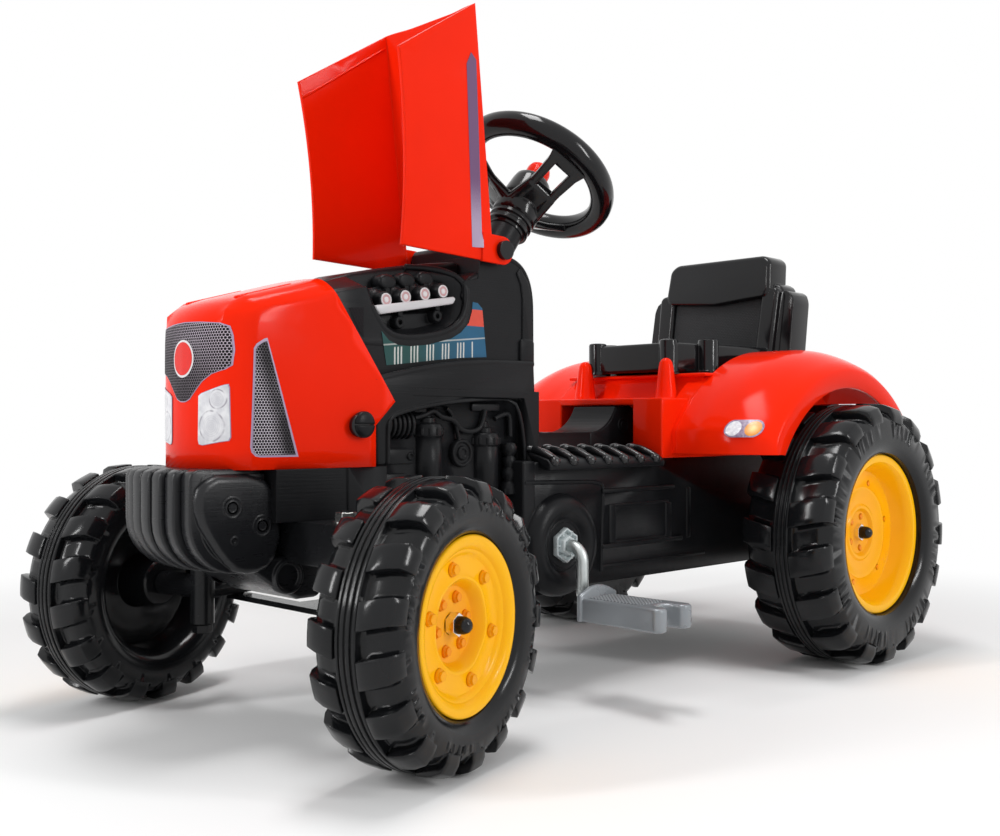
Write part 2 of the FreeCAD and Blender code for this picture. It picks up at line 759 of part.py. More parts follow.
def steering():
    """Wheel, horn button, shaft with drop arm, column tube and cross screw, built along their own axis."""
    rim = doc.addObject("Part::Torus", "steering_rim")
    bind(rim, Radius1=S.rim_radius, Radius2=S.rim_thickness / 2)
    hub = doc.addObject("Part::Cone", "steering_hub")
    hub_foot = -(S.hub_drop + S.hub_length)
    bind(hub, Radius1=S.hub_low_radius, Radius2=S.hub_top_radius, Height=S.hub_length)
    put(hub, 0, 0, hub_foot)
    spokes = []
    for index in range(SPOKES):
        spoke = box(f"spoke_{index}", S.rim_radius, S.spoke_width, S.spoke_thickness, 0, -S.spoke_width / 2,
                    -S.hub_drop - S.spoke_thickness / 2)
        whole = group(f"spoke_turned_{index}", spoke)
        put(whole, 0, 0, 0, Z_AXIS, WHOLE_TURN / SPOKES * index + QUARTER_TURN)
        spokes.append(whole)
    pocket_depth = S.horn_length + S.horn_travel
    pocket = post("horn_pocket", S.horn_radius + S.fit * 2, pocket_depth, 0, 0,
                  -S.hub_drop / 2 - S.horn_length)
    shaft_top = hub_foot + S.hub_length * HALF
    shaft_bore = post("hub_bore", S.shaft_radius + S.fit, S.hub_length, 0, 0, shaft_top - S.hub_length)
    screw_z = hub_foot + S.hub_length / 4
    screw = rod("screw_shank", S.screw_radius, S.hub_low_radius * 2 + S.screw_radius * 2,
                -S.hub_low_radius - S.screw_radius, 0, screw_z)
    arm_foot = -SHAFT_LENGTH
    shaft = post("shaft_bar", S.shaft_radius, shaft_top - arm_foot, 0, 0, arm_foot)
    arm = rod("drop_arm", S.shaft_radius, S.drop_arm_length, 0, 0, arm_foot, X_AXIS, -QUARTER_TURN)
    elbow = doc.addObject("Part::Sphere", "drop_elbow")
    bind(elbow, Radius=S.shaft_radius)
    put(elbow, 0, S.drop_arm_length, arm_foot)
    pin = rod("drop_pin", S.tie_pin_radius, S.drop_pin_length, 0, S.drop_arm_length, arm_foot, X_AXIS,
              S.steering_tilt.value - 2 * QUARTER_TURN)
    tube_top = hub_foot - S.gap
    tube = post("tube_bar", S.column_tube_radius, S.column_tube_length, 0, 0,
                tube_top - S.column_tube_length)
    tube_bore = post("tube_bore", S.shaft_radius + S.fit, S.column_tube_length + S.overrun * 2, 0, 0,
                     tube_top - S.column_tube_length - S.overrun)
    horn_stem = post("horn_stem", S.horn_radius, S.horn_length - S.horn_travel, 0, 0,
                     -S.hub_drop / 2 - S.horn_length + S.horn_travel)
    horn_dome = doc.addObject("Part::Sphere", "horn_dome")
    bind(horn_dome, Radius=S.horn_radius)
    put(horn_dome, 0, 0, -S.hub_drop / 2)
    wheel = cut("steering_wheel_cut", fuse("steering_wheel_whole", rim, hub, *spokes), pocket, shaft_bore,
                screw)
    pieces = (("steering_wheel", wheel, True),
              ("horn_button", fuse("horn_button_whole", horn_stem, horn_dome), True),
              ("steering_shaft", cut("shaft_cut", fuse("shaft_whole", shaft, arm, elbow, pin), screw),
               True),
              ("column_screw", screw, True),
              ("column_tube", cut("tube_cut", tube, tube_bore), False))
    lean = FreeCAD.Rotation(X_AXIS, -S.steering_tilt.value)
    turn = FreeCAD.Rotation(Z_AXIS, S.steer_angle.value)
    for name, piece, steered in pieces:
        whole = group(name + "_group", piece)
        put(whole, 0, STEERING, S.steering_height)
        rotation = lean.multiply(turn) if steered else lean
        whole.Placement = FreeCAD.Placement(whole.Placement.Base, rotation)
        node(name, whole)
    channel = post("shaft_channel", S.shaft_radius + S.fit, SHAFT_LENGTH, 0, 0, arm_foot)
    tools = []
    for name, piece in (("tube_seat", tube), ("shaft_way", channel)):
        tool = group(name, piece)
        put(tool, 0, STEERING, S.steering_height)
        tool.Placement = FreeCAD.Placement(tool.Placement.Base, lean)
        tools.append(tool)
    return tools


def chassis(shaft_way, saddle_bolts, hitch_bolts, beam_bolts):
    """Black moulded body: lower box, engine box with side bays, nose, spine, footboards and bosses."""
    front = FRONT + S.chassis_front_behind
    tail = REAR + S.chassis_tail_behind
    engine_front = FRONT + S.engine_front_behind
    engine_rear = FRONT + S.engine_rear_behind
    saddle_front = REAR - S.saddle_front_ahead
    lower = side_prism("chassis_lower", [
        (front, S.chassis_top), (front, S.engine_bottom), (front + S.chassis_nose_rise, S.chassis_bottom),
        (REAR, S.chassis_bottom), (tail, S.chassis_tail_height), (tail, S.chassis_top)],
        S.chassis_half_width)
    engine = wide_box("chassis_engine", S.engine_half_width, engine_front, engine_rear, S.engine_bottom,
                      S.ridge_height)
    nose = wide_box("chassis_nose", S.nose_half_width, FRONT - S.nose_ahead, engine_front + S.wall,
                    S.nose_bottom,
                    S.cowl_floor)
    ramp_foot = engine_rear + S.spine_flat_length
    spine = side_prism("chassis_spine", [
        (engine_rear - S.wall, S.chassis_top - S.wall), (saddle_front, S.chassis_top - S.wall),
        (saddle_front, S.spine_high_height), (ramp_foot + S.spine_ramp_length, S.spine_high_height),
        (ramp_foot, S.chassis_top + S.spine_low_rise, -S.spine_ramp_radius),
        (engine_rear + S.spine_fillet, S.chassis_top + S.spine_low_rise),
        (engine_rear - S.wall, S.ridge_height - S.wall, -S.spine_fillet)], S.spine_half_width)
    boards = wide_box("footboards", S.board_half_width, engine_rear, engine_rear + S.board_length,
                      S.chassis_top - S.board_thickness, S.chassis_top)
    teeth = []
    pitch = S.board_length / BOARD_TEETH
    for index in range(BOARD_TEETH):
        tooth_y = engine_rear + pitch * (index + HALF)
        teeth.append(wide_box(f"board_tooth_{index}", S.board_half_width, tooth_y - S.board_tooth_width / 2,
                              tooth_y + S.board_tooth_width / 2, S.chassis_top,
                              S.chassis_top + S.board_tooth_height))
    crank_boss = rod("crank_boss", S.crank_boss_radius, S.crank_boss_reach * 2, -S.crank_boss_reach, CRANK,
                     S.crank_height)
    axle_boss = rod("axle_boss", S.axle_boss_radius, S.axle_boss_reach * 2, -S.axle_boss_reach, REAR,
                    AXLE_REAR)
    cavity_top = S.chassis_top - S.board_thickness - S.wall
    lower_space = side_prism("lower_space", [
        (front + S.wall, cavity_top), (front + S.wall, S.engine_bottom + S.wall),
        (front + S.chassis_nose_rise + S.wall, S.chassis_bottom - S.overrun),
        (REAR - S.wall, S.chassis_bottom - S.overrun), (tail - S.wall, S.chassis_tail_height + S.wall),
        (tail - S.wall, cavity_top)], S.chassis_half_width - S.wall)
    bay_floor = S.engine_half_width - S.bay_depth
    engine_space = wide_box("engine_space", bay_floor - S.wall, engine_front + S.wall, engine_rear - S.wall,
                            S.engine_bottom + S.wall, S.ridge_height + S.overrun)
    bay_front = FRONT + S.cowl_foot_behind + S.bay_margin
    bay_rear = engine_rear - S.bay_margin - S.wall * 2
    bay_top = S.ridge_height - S.bay_margin / 2
    bay_low = S.engine_bottom + S.bay_margin
    bay_whole = side_prism("bay_whole", [
        (bay_front, bay_low), (bay_rear, bay_low), (bay_rear, bay_top), (bay_front + S.bay_arch_radius,
                                                                         bay_top),
        (bay_front, bay_top - S.bay_arch_radius, S.bay_arch_radius)], S.engine_half_width + S.overrun)
    bay_core = wide_box("bay_core", bay_floor, bay_front - S.overrun, bay_rear + S.overrun,
                        bay_low - S.overrun,
                        bay_top + S.overrun)
    bays = cut("engine_bays", bay_whole, bay_core)
    filters = []
    for side in (1, -1):
        for index, share in enumerate(FILTER_SHARES):
            filters.append(post(f"filter_{side}_{index}", S.filter_radius, S.filter_height,
                                side * (bay_floor - S.wall), bay_front + (bay_rear - bay_front) * share,
                                bay_low + S.bay_margin))
    steps = []
    for side in (1, -1):
        low_x = S.engine_half_width - S.cowl_step if side > 0 else -S.engine_half_width - S.overrun
        steps.append(box(f"cowl_step_{side}", S.cowl_step + S.overrun,
                         S.cowl_corner_behind + S.gap - S.engine_front_behind + S.overrun,
                         S.ridge_height - S.cowl_floor + S.overrun, low_x, engine_front - S.overrun,
                         S.cowl_floor))
    crank_bore = rod("chassis_crank_bore", S.crank_bush_neck + S.fit, S.board_half_width * 2,
                     -S.board_half_width,
                     CRANK, S.crank_height)
    axle_bore = rod("chassis_axle_bore", S.rear_bush_radius + S.fit, S.rear_track, -S.rear_track / 2, REAR,
                    AXLE_REAR)
    shell = cut("chassis_shell", fuse("chassis_outer", lower, engine, nose, spine, boards, crank_boss,
                                      axle_boss,
                                      *teeth), bays)
    whole = fuse("chassis_with_filters", shell, *filters)
    node("chassis", cut("chassis_cut", whole, lower_space, engine_space, crank_bore, axle_bore, *steps,
                        shaft_way, saddle_bolts, hitch_bolts, beam_bolts))
    belly_front = front + S.chassis_nose_rise + S.wall * 2
    node("belly_cover", wide_box("belly_cover_plate", S.chassis_half_width - S.wall, belly_front,
                                 REAR - S.wall * 2, S.chassis_bottom, S.chassis_bottom + S.wall))


def engine_housing(tube_seat, shaft_way):
    """Black upper body with a recess across it, and the insert that stands in the recess."""
    engine_rear = FRONT + S.engine_rear_behind
    front = FRONT + S.cowl_top_behind - S.housing_round / 2
    step = HINGE - S.bonnet_notch + S.wall * 2
    outer = side_prism("housing_outer", [
        (front, S.ridge_height), (engine_rear, S.ridge_height),
        (engine_rear, S.housing_top_height - S.housing_round),
        (engine_rear - S.housing_round, S.housing_top_height, S.housing_round),
        (step, S.housing_top_height), (step - S.wall, S.housing_step_height),
        (front, S.housing_front_height - S.wall * 2)], S.housing_half_width)
    space = side_prism("housing_space", [
        (front + S.wall, S.ridge_height - S.overrun), (engine_rear - S.wall, S.ridge_height - S.overrun),
        (engine_rear - S.wall, S.housing_top_height - S.housing_round),
        (engine_rear - S.housing_round, S.housing_top_height - S.wall, S.housing_round - S.wall),
        (step + S.wall, S.housing_top_height - S.wall), (step, S.housing_step_height - S.wall),
        (front + S.wall, S.housing_front_height - S.wall * 3)], S.housing_half_width - S.wall)
    recess_front = FRONT + S.recess_front_behind
    recess_rear = FRONT + S.recess_rear_behind
    tub = wide_box("recess_tub", S.housing_half_width, recess_front - S.wall, recess_rear + S.wall,
                   S.recess_floor - S.wall, S.housing_top_height + S.wall)
    tub_trim = common("recess_walls", tub, outer)
    recess = wide_box("recess_space", S.housing_half_width + S.overrun, recess_front, recess_rear,
                      S.recess_floor,
                      S.housing_top_height + S.wall)
    hollow = cut("housing_hollow", outer, space)
    lugs = []
    for side in (1, -1):
        low_x = side * S.housing_half_width - (S.hinge_lug_width if side > 0 else 0)
        lugs.append(rod(f"hinge_lug_{side}", S.hinge_lug_radius, S.hinge_lug_width, low_x, HINGE,
                        S.hinge_height))
        lugs.append(box(f"hinge_post_{side}", S.hinge_lug_width, S.hinge_lug_radius * 2,
                        S.hinge_height - S.housing_top_height + S.wall, low_x, HINGE - S.hinge_lug_radius,
                        S.housing_top_height - S.wall))
    pins = hinge_pins()
    node("engine_housing", cut("housing_cut", fuse("housing_whole", hollow, tub_trim, *lugs), recess, pins,
                               tube_seat, shaft_way))
    block_half = S.housing_half_width - S.insert_margin * 2
    block = wide_box("insert_block", block_half, recess_front + S.insert_margin,
                     recess_rear - S.insert_margin,
                     S.recess_floor, S.recess_floor + S.insert_height)
    pieces = [block]
    pitch = (recess_rear - recess_front - S.insert_margin * 2) / INSERT_CAPS
    for index in range(INSERT_CAPS):
        y = recess_front + S.insert_margin + pitch * (index + HALF)
        rise = S.insert_cap_rise * (index / (INSERT_CAPS - 1) - HALF)
        pieces.append(rod(f"insert_cap_{index}", S.insert_cap_radius,
                          (block_half + S.insert_cap_length) * 2,
                          -block_half - S.insert_cap_length, y,
                          S.recess_floor + S.insert_height * INSERT_CAP_SHARE + rise))
    for index in range(INSERT_CAPS - 1):
        y = recess_front + S.insert_margin + pitch * (index + 1)
        pieces.append(rod(f"insert_fin_{index}", S.fin_radius, block_half * 2, -block_half, y,
                          S.recess_floor + S.insert_height))
    node("engine_insert", cut("engine_insert_cut", fuse("engine_insert_whole", *pieces), shaft_way))


def hinge_pins():
    """Two headed pins that carry the bonnet."""
    pins = []
    inner = S.housing_half_width - S.hinge_lug_width
    outer = S.bonnet_rear_half_width + S.gap / 2
    for side, word in ((1, "left"), (-1, "right")):
        way = QUARTER_TURN * side
        shank = rod(f"hinge_shank_{word}", S.hinge_pin_radius, outer - inner, side * inner, HINGE,
                    S.hinge_height,
                    Y_AXIS, way)
        head = rod(f"hinge_head_{word}", S.hinge_cap_radius, S.hinge_cap_length, side * outer, HINGE,
                   S.hinge_height, Y_AXIS, way)
        pins.append(fuse(f"hinge_pin_{word}", shank, head))
    return node("bonnet_hinge_pins", group("hinge_pins_group", *pins))


def tapered(name, outline, plan, front_view, half, reach, depth):
    """A side view, a plan and a front view pushed through one another."""
    side = side_prism(name + "_side", outline, half)
    above = prism(name + "_plan", "XY_Plane", plan, depth * 2)
    ahead = prism(name + "_front", "XZ_Plane", front_view, reach * 2)
    return common(name, side, above, ahead)


def ruled_block(name, rear_section, front_section):
    """A solid between two four-cornered sections with straight sides."""
    item = doc.addObject("Part::Feature", name)
    wires = []
    for section in (rear_section, front_section):
        corners = [Vector(number(x), number(y), number(z)) for x, y, z in section]
        wires.append(Part.makePolygon(corners + corners[:1]))
    item.Shape = Part.makeLoft(wires, True, True)
    return item


def bonnet():
    """Red shell, open below, ahead and behind, drawn closed about its hinge and then stood open."""
    rear, low, top = S.bonnet_rear_length, S.bonnet_low_length, S.bonnet_top_length
    crown = -S.bonnet_crown_drop
    blocks = []
    for name, trim, spare in (("bonnet_outer", 0, 0), ("bonnet_space", S.panel_wall, S.overrun)):
        low_half = S.bonnet_rear_half_width - trim
        high_half = S.bonnet_crown_half_width - trim
        front_half = S.bonnet_front_half_width - trim
        top_half = S.bonnet_top_half_width - trim
        behind = [(-low_half, rear + spare, -S.bonnet_rear_drop - spare),
                  (low_half, rear + spare, -S.bonnet_rear_drop - spare),
                  (high_half, rear + spare, crown - trim), (-high_half, rear + spare, crown - trim)]
        ahead = [(-front_half, -low - spare, -S.bonnet_low_drop - spare),
                 (front_half, -low - spare, -S.bonnet_low_drop - spare),
                 (top_half, -top - spare, -S.bonnet_top_drop - trim),
                 (-top_half, -top - spare, -S.bonnet_top_drop - trim)]
        blocks.append(ruled_block(name, behind, ahead))
    bore = rod("bonnet_bore", S.hinge_pin_radius + S.fit, S.bonnet_front_half_width * 2,
               -S.bonnet_front_half_width, 0, 0)
    ears = []
    for side in (1, -1):
        ear_x = S.bonnet_rear_half_width - S.panel_wall if side > 0 else -S.bonnet_rear_half_width
        ears.append(rod(f"bonnet_ear_{side}", S.hinge_ear_radius, S.panel_wall, ear_x, 0, 0))
        ears.append(box(f"bonnet_ear_root_{side}", S.panel_wall, S.hinge_ear_radius * 2, S.bonnet_notch,
                        ear_x,
                        -S.hinge_ear_radius, -S.bonnet_notch))
    notch = wide_box("bonnet_notch_space", S.bonnet_crown_half_width - S.panel_wall, -S.bonnet_notch,
                     rear + S.overrun, -S.bonnet_notch, S.hinge_ear_radius)
    shell = cut("bonnet_shell", *blocks, notch)
    whole = group("bonnet_group", cut("bonnet_cut", fuse("bonnet_eared", shell, *ears), bore))
    put(whole, 0, HINGE, S.hinge_height, X_AXIS, -S.bonnet_open_angle)
    node("bonnet", whole)


def front_cowl():
    """Red nose shell, open below and behind, with a black cap each side."""
    front = FRONT - S.cowl_ahead
    rear = FRONT + S.cowl_corner_behind
    shapes = []
    for name, trim, spare in (("cowl_outer", 0, 0), ("cowl_space", S.panel_wall, S.overrun)):
        face = front + trim
        top_y = FRONT - S.cowl_front_top_ahead + trim
        outline = [(face, S.cowl_floor - spare), (FRONT + S.cowl_foot_behind + spare, S.cowl_floor - spare),
                   (FRONT + S.cowl_foot_behind + spare, S.cowl_floor + S.cowl_notch_rise),
                   (rear + spare, S.cowl_corner_height),
                   (FRONT + S.cowl_top_behind + spare, S.cowl_top_height - trim),
                   (top_y + S.cowl_round, S.cowl_front_height - trim),
                   (top_y, S.cowl_front_height - trim - S.cowl_round, S.cowl_round)]
        narrow = S.cowl_front_half_width - trim
        wide = S.cowl_rear_half_width - trim
        slim = S.cowl_top_half_width - trim
        plan = [(-narrow + S.cowl_round, face, S.cowl_round), (narrow - S.cowl_round, face),
                (narrow, face + S.cowl_round, S.cowl_round), (wide, rear + spare), (-wide, rear + spare),
                (-narrow, face + S.cowl_round)]
        view = [(-wide, S.cowl_floor - spare), (wide, S.cowl_floor - spare), (wide, S.cowl_corner_height),
                (slim, S.cowl_top_height - trim), (-slim, S.cowl_top_height - trim), (-wide,
                                                                                      S.cowl_corner_height)]
        shapes.append(tapered(name, outline, plan, view, wide, S.wheelbase, S.cowl_top_height * 2))
    cap_y = FRONT + S.cowl_foot_behind - S.cowl_cap_radius * 2
    cap_z = S.cowl_floor + S.cowl_notch_rise
    caps, holes = [], []
    slope = (S.cowl_rear_half_width - S.cowl_front_half_width) / (S.cowl_ahead + S.cowl_corner_behind)
    face_x = S.cowl_front_half_width + slope * (cap_y - front) + S.gap
    seat_x = S.engine_half_width - S.cowl_step
    for side, word in ((1, "left"), (-1, "right")):
        way = QUARTER_TURN * side
        shank = rod(f"cowl_cap_shank_{word}", S.cowl_cap_radius * HALF, face_x - seat_x, side * seat_x, cap_y,
                    cap_z, Y_AXIS, way)
        head = rod(f"cowl_cap_head_{word}", S.cowl_cap_radius, S.cowl_cap_length * HALF, side * face_x,
                   cap_y, cap_z,
                   Y_AXIS, way)
        caps.append(fuse(f"cowl_cap_{word}", shank, head))
    group_caps = node("cowl_caps", group("cowl_caps_group", *caps))
    node("front_cowl", cut("front_cowl_cut", shapes[0], shapes[1], group_caps))


def front_weights():
    """Black block of weight plates with a bulging front, marked off by grooves."""
    face = FRONT - S.weight_ahead
    half, bulge = S.weight_half_width, S.weight_bulge
    side = side_prism("weight_side", [
        (face, S.cowl_floor), (FRONT - S.nose_ahead, S.cowl_floor), (FRONT - S.nose_ahead, S.weight_bottom),
        (face + S.weight_round, S.weight_bottom), (face, S.weight_bottom + S.weight_round,
                                                   -S.weight_round)], half)
    plan_radius = (half * half + bulge * bulge) / (bulge * 2)
    plan = prism("weight_plan", "XY_Plane", [
        (-half, FRONT - S.nose_ahead), (half, FRONT - S.nose_ahead), (half, face + bulge),
        (-half, face + bulge, -plan_radius)], S.cowl_floor * 2)
    grooves = []
    for index in range(WEIGHT_GROOVES):
        x = S.weight_pitch * (index - (WEIGHT_GROOVES - 1) / 2)
        set_back = x * x * bulge / (half * half)
        grooves.append(box(f"weight_groove_{index}", S.weight_groove_width,
                           set_back + S.weight_groove_depth + S.overrun, S.cowl_floor,
                           x - S.weight_groove_width / 2, face - S.overrun, S.weight_bottom))
    node("front_weights", cut("front_weights_cut", common("weight_block", side, plan), *grooves))


def crank_path():
    """The bent rod's centre line: pin, arm, shaft, arm, pin, with round bends."""
    reach, arm = S.crank_arm_reach.value, S.crank_arm_length.value
    end = crank_pin_end().value
    corners = [Vector(end, 0, -arm), Vector(reach, 0, -arm), Vector(reach, 0, 0), Vector(-reach, 0, 0),
               Vector(-reach, 0, arm), Vector(-end, 0, arm)]
    bend = S.crank_bend_radius.value
    edges = []
    start = corners[0]
    for before, corner, after in zip(corners, corners[1:], corners[2:]):
        back = (before - corner).normalize()
        ahead = (after - corner).normalize()
        enter, leave = corner + back * bend, corner + ahead * bend
        centre = enter + ahead * bend
        middle = centre + (corner - centre).normalize() * bend
        edges.append(Part.LineSegment(start, enter).toShape())
        edges.append(Part.Arc(enter, middle, leave).toShape())
        start = leave
    edges.append(Part.LineSegment(start, corners[-1]).toShape())
    return Part.Wire(edges)


def pedal_start():
    return S.crank_arm_reach + S.crank_bend_radius + S.gap


def crank_pin_end():
    return pedal_start() + S.pedal_length - S.pedal_fork_length + S.gap + S.retainer_length


def crank_and_pedals():
    """Bent crank rod, its bushes, two pedals and their retainers."""
    path = crank_path()
    first = path.Edges[0]
    ring = Part.Wire(Part.makeCircle(S.crank_rod_radius.value, first.valueAt(first.FirstParameter), X_AXIS))
    crank = doc.addObject("Part::Feature", "crank_rod")
    crank.Shape = path.makePipeShell([ring], True, False)
    put(crank, 0, CRANK, S.crank_height)
    node("crankshaft", crank)
    bushes, retainers = [], []
    neck = S.crank_bush_neck
    inner = S.chassis_half_width - S.wall * 2
    for side, word in ((1, "left"), (-1, "right")):
        way = QUARTER_TURN * side
        flange = hexagon(f"bush_flange_{word}", S.crank_bush_radius * 2, S.crank_bush_flange,
                         side * S.crank_boss_reach, CRANK, S.crank_height, Y_AXIS, way)
        sleeve = rod(f"bush_sleeve_{word}", neck, S.crank_boss_reach - inner, side * inner, CRANK,
                     S.crank_height,
                     Y_AXIS, way)
        bore = rod(f"bush_bore_{word}", S.crank_rod_radius + S.fit, S.board_half_width,
                   side * (inner - S.overrun),
                   CRANK, S.crank_height, Y_AXIS, way)
        bushes.append(cut(f"crank_bush_{word}", fuse(f"bush_{word}", flange, sleeve), bore))
        pin_z = S.crank_height - side * S.crank_arm_length
        start = pedal_start()
        body = pedal(f"pedal_{word}", side, start)
        put(body, 0, CRANK, pin_z)
        node(f"{word}_pedal", body)
        retainer = rod(f"retainer_disc_{word}", S.retainer_radius, S.retainer_length,
                       side * (crank_pin_end() - S.retainer_length), CRANK, pin_z, Y_AXIS, way)
        retainers.append(cut(f"retainer_{word}", retainer, crank))
    node("crank_bushes", group("crank_bushes_group", *bushes))
    node("pedal_retainers", group("pedal_retainers_group", *retainers))


def pedal(name, side, start):
    """A grey pedal block with a flange at its inner end and a fork at its outer end."""
    low = S.pedal_height / 2
    first = start if side > 0 else -start - S.pedal_length
    block = box(name + "_block", S.pedal_length, S.pedal_width, S.pedal_height, first, -S.pedal_width / 2,
                -low)
    flange_x = start if side > 0 else -start - S.pedal_flange
    flange = box(name + "_flange", S.pedal_flange, S.pedal_width, S.pedal_height + S.pedal_flange_rise,
                 flange_x,
                 -S.pedal_width / 2, -low)
    notch_x = -start - S.pedal_length - S.overrun
    if side > 0:
        notch_x = start + S.pedal_length - S.pedal_fork_length
    notch_width = S.pedal_width - S.pedal_fork_width * 2
    notch = box(name + "_notch", S.pedal_fork_length + S.overrun, notch_width,
                S.pedal_height + S.overrun * 2, notch_x,
                -notch_width / 2, -low - S.overrun)
    bore = rod(name + "_bore", S.crank_rod_radius + S.fit, S.pedal_length + S.overrun * 2,
               first - S.overrun, 0, 0)
    return cut(name, fuse(name + "_whole", block, flange), notch, bore)


def belt_face(spread):
    """The area inside a band round both sprockets, standing off them by the given amount."""
    big, small = S.crank_sprocket_radius.value + spread, S.rear_sprocket_radius.value + spread
    distance = S.crank_ahead.value
    rise = AXLE_REAR.value - S.crank_height.value
    span = math.hypot(distance, rise)
    along = Vector(0, distance, rise) / span
    across = Vector(0, -rise, distance) / span
    lean = (big - small) / span
    upright = math.sqrt(1 - lean * lean)
    near, far = Vector(0, CRANK.value, S.crank_height.value), Vector(0, REAR.value, AXLE_REAR.value)
    up = along * lean + across * upright
    down = along * lean - across * upright
    edges = [Part.LineSegment(near + up * big, far + up * small).toShape(),
             Part.Arc(far + up * small, far + along * small, far + down * small).toShape(),
             Part.LineSegment(far + down * small, near + down * big).toShape(),
             Part.Arc(near + down * big, near - along * big, near + up * big).toShape()]
    return Part.Face(Part.Wire(edges))


def drive():
    """Sprockets, chain, rear axle with bushes, spacers, nuts and caps."""
    chain = doc.addObject("Part::Feature", "chain_band")
    outer = belt_face(S.chain_play.value + S.chain_thickness.value).extrude(X_AXIS * S.chain_width.value)
    inner = belt_face(S.chain_play.value).extrude(X_AXIS * S.chain_width.value)
    chain.Shape = outer.cut(inner)
    put(chain, -S.chain_offset - S.chain_width / 2, 0, 0)
    node("drive_chain", chain)
    for name, radius, y, z, bore in (
            ("crank_sprocket", S.crank_sprocket_radius, CRANK, S.crank_height, S.crank_rod_radius),
            ("rear_sprocket", S.rear_sprocket_radius, REAR, AXLE_REAR, S.rear_axle_radius)):
        x = -S.chain_offset - S.sprocket_thickness / 2
        disc = rod(name + "_disc", radius, S.sprocket_thickness, x, y, z)
        boss = rod(name + "_boss", S.sprocket_boss_radius, S.sprocket_thickness * 3, x, y, z)
        hole = rod(name + "_hole", bore + S.fit, S.sprocket_thickness * 5, x - S.sprocket_thickness, y, z)
        node(name, cut(name + "_cut", fuse(name + "_whole", disc, boss), hole))

    half = S.rear_wheel_width / 2
    floor = S.rear_track / 2 + half - S.rear_disc_inset - S.rear_disc_depth + S.disc_wall
    nut_start = floor + S.gap
    end = nut_start + S.nut_height + S.cap_length / 2
    node("rear_axle", rod("rear_axle_bar", S.rear_axle_radius, end * 2, -end, REAR, AXLE_REAR))
    bushes, spacers, nuts, caps = [], [], [], []
    bush_start = S.axle_boss_reach - S.rear_bush_radius
    hub_in = S.rear_track / 2 - half + S.side_inset
    for side, word in ((1, "left"), (-1, "right")):
        way = QUARTER_TURN * side
        sleeve = rod(f"rear_bush_sleeve_{word}", S.rear_bush_radius, S.rear_bush_radius, side * bush_start,
                     REAR,
                     AXLE_REAR, Y_AXIS, way)
        flange = rod(f"rear_bush_flange_{word}", S.rear_bush_flange, S.wall / 2, side * S.axle_boss_reach,
                     REAR,
                     AXLE_REAR, Y_AXIS, way)
        bore = rod(f"rear_bush_bore_{word}", S.rear_axle_radius + S.fit, S.rear_track, 0, REAR, AXLE_REAR,
                   Y_AXIS, way)
        bushes.append(cut(f"rear_bush_{word}", fuse(f"rear_bush_whole_{word}", sleeve, flange), bore))
        spacer_start = S.axle_boss_reach + S.wall / 2 + S.gap / 2
        spacer = rod(f"rear_spacer_bar_{word}", S.washer_radius, hub_in - S.gap / 2 - spacer_start,
                     side * spacer_start,
                     REAR, AXLE_REAR, Y_AXIS, way)
        spacers.append(cut(f"rear_spacer_{word}", spacer, bore))
        nut = hexagon(f"rear_nut_body_{word}", S.nut_size, S.nut_height, side * nut_start, REAR, AXLE_REAR,
                      Y_AXIS, way)
        nuts.append(cut(f"rear_nut_{word}", nut, bore))
        cap = axle_cap(f"rear_cap_{word}", side, nut_start + S.nut_height, AXLE_REAR, S.rear_axle_radius)
        caps.append(put(group(f"rear_cap_moved_{word}", cap), 0, REAR, 0))
    node("rear_axle_bushes", group("rear_bushes_group", *bushes))
    node("rear_axle_spacers", group("rear_spacers_group", *spacers))
    node("rear_axle_nuts", group("rear_nuts_group", *nuts))
    node("rear_axle_caps", group("rear_caps_group", *caps))


def tow_hitch():
    """Plate and tongue with an upright bore, bolted to the chassis tail."""
    tail = REAR + S.chassis_tail_behind
    plate = wide_box("hitch_plate", S.hitch_width / 2, tail, tail + S.hitch_thickness,
                     S.hitch_tongue_height - S.hitch_plate_height / 2 + S.hitch_thickness,
                     S.hitch_tongue_height + S.hitch_plate_height / 2)
    tongue = wide_box("hitch_tongue", S.hitch_width / 2, tail,
                      tail + S.hitch_thickness + S.hitch_tongue_length,
                      S.hitch_tongue_height - S.hitch_thickness / 2,
                      S.hitch_tongue_height + S.hitch_thickness / 2)
    bore_y = tail + S.hitch_thickness + S.hitch_tongue_length - S.hitch_bore_radius * 2
    bore = post("hitch_bore", S.hitch_bore_radius, S.hitch_thickness + S.overrun * 2, 0, bore_y,
                S.hitch_tongue_height - S.hitch_thickness / 2 - S.overrun)
    bolts = []
    for side, word in ((1, "left"), (-1, "right")):
        bolts.append(bolt(f"hitch_bolt_{word}", side * S.hitch_width / 3, tail + S.hitch_thickness,
                          S.hitch_tongue_height + S.hitch_plate_height / 4, X_AXIS, QUARTER_TURN,
                          S.bolt_length))
    bolt_group = node("tow_hitch_bolts", group("hitch_bolts_group", *bolts))
    node("tow_hitch", cut("tow_hitch_cut", fuse("tow_hitch_whole", plate, tongue), bore, bolt_group))
    return bolt_group


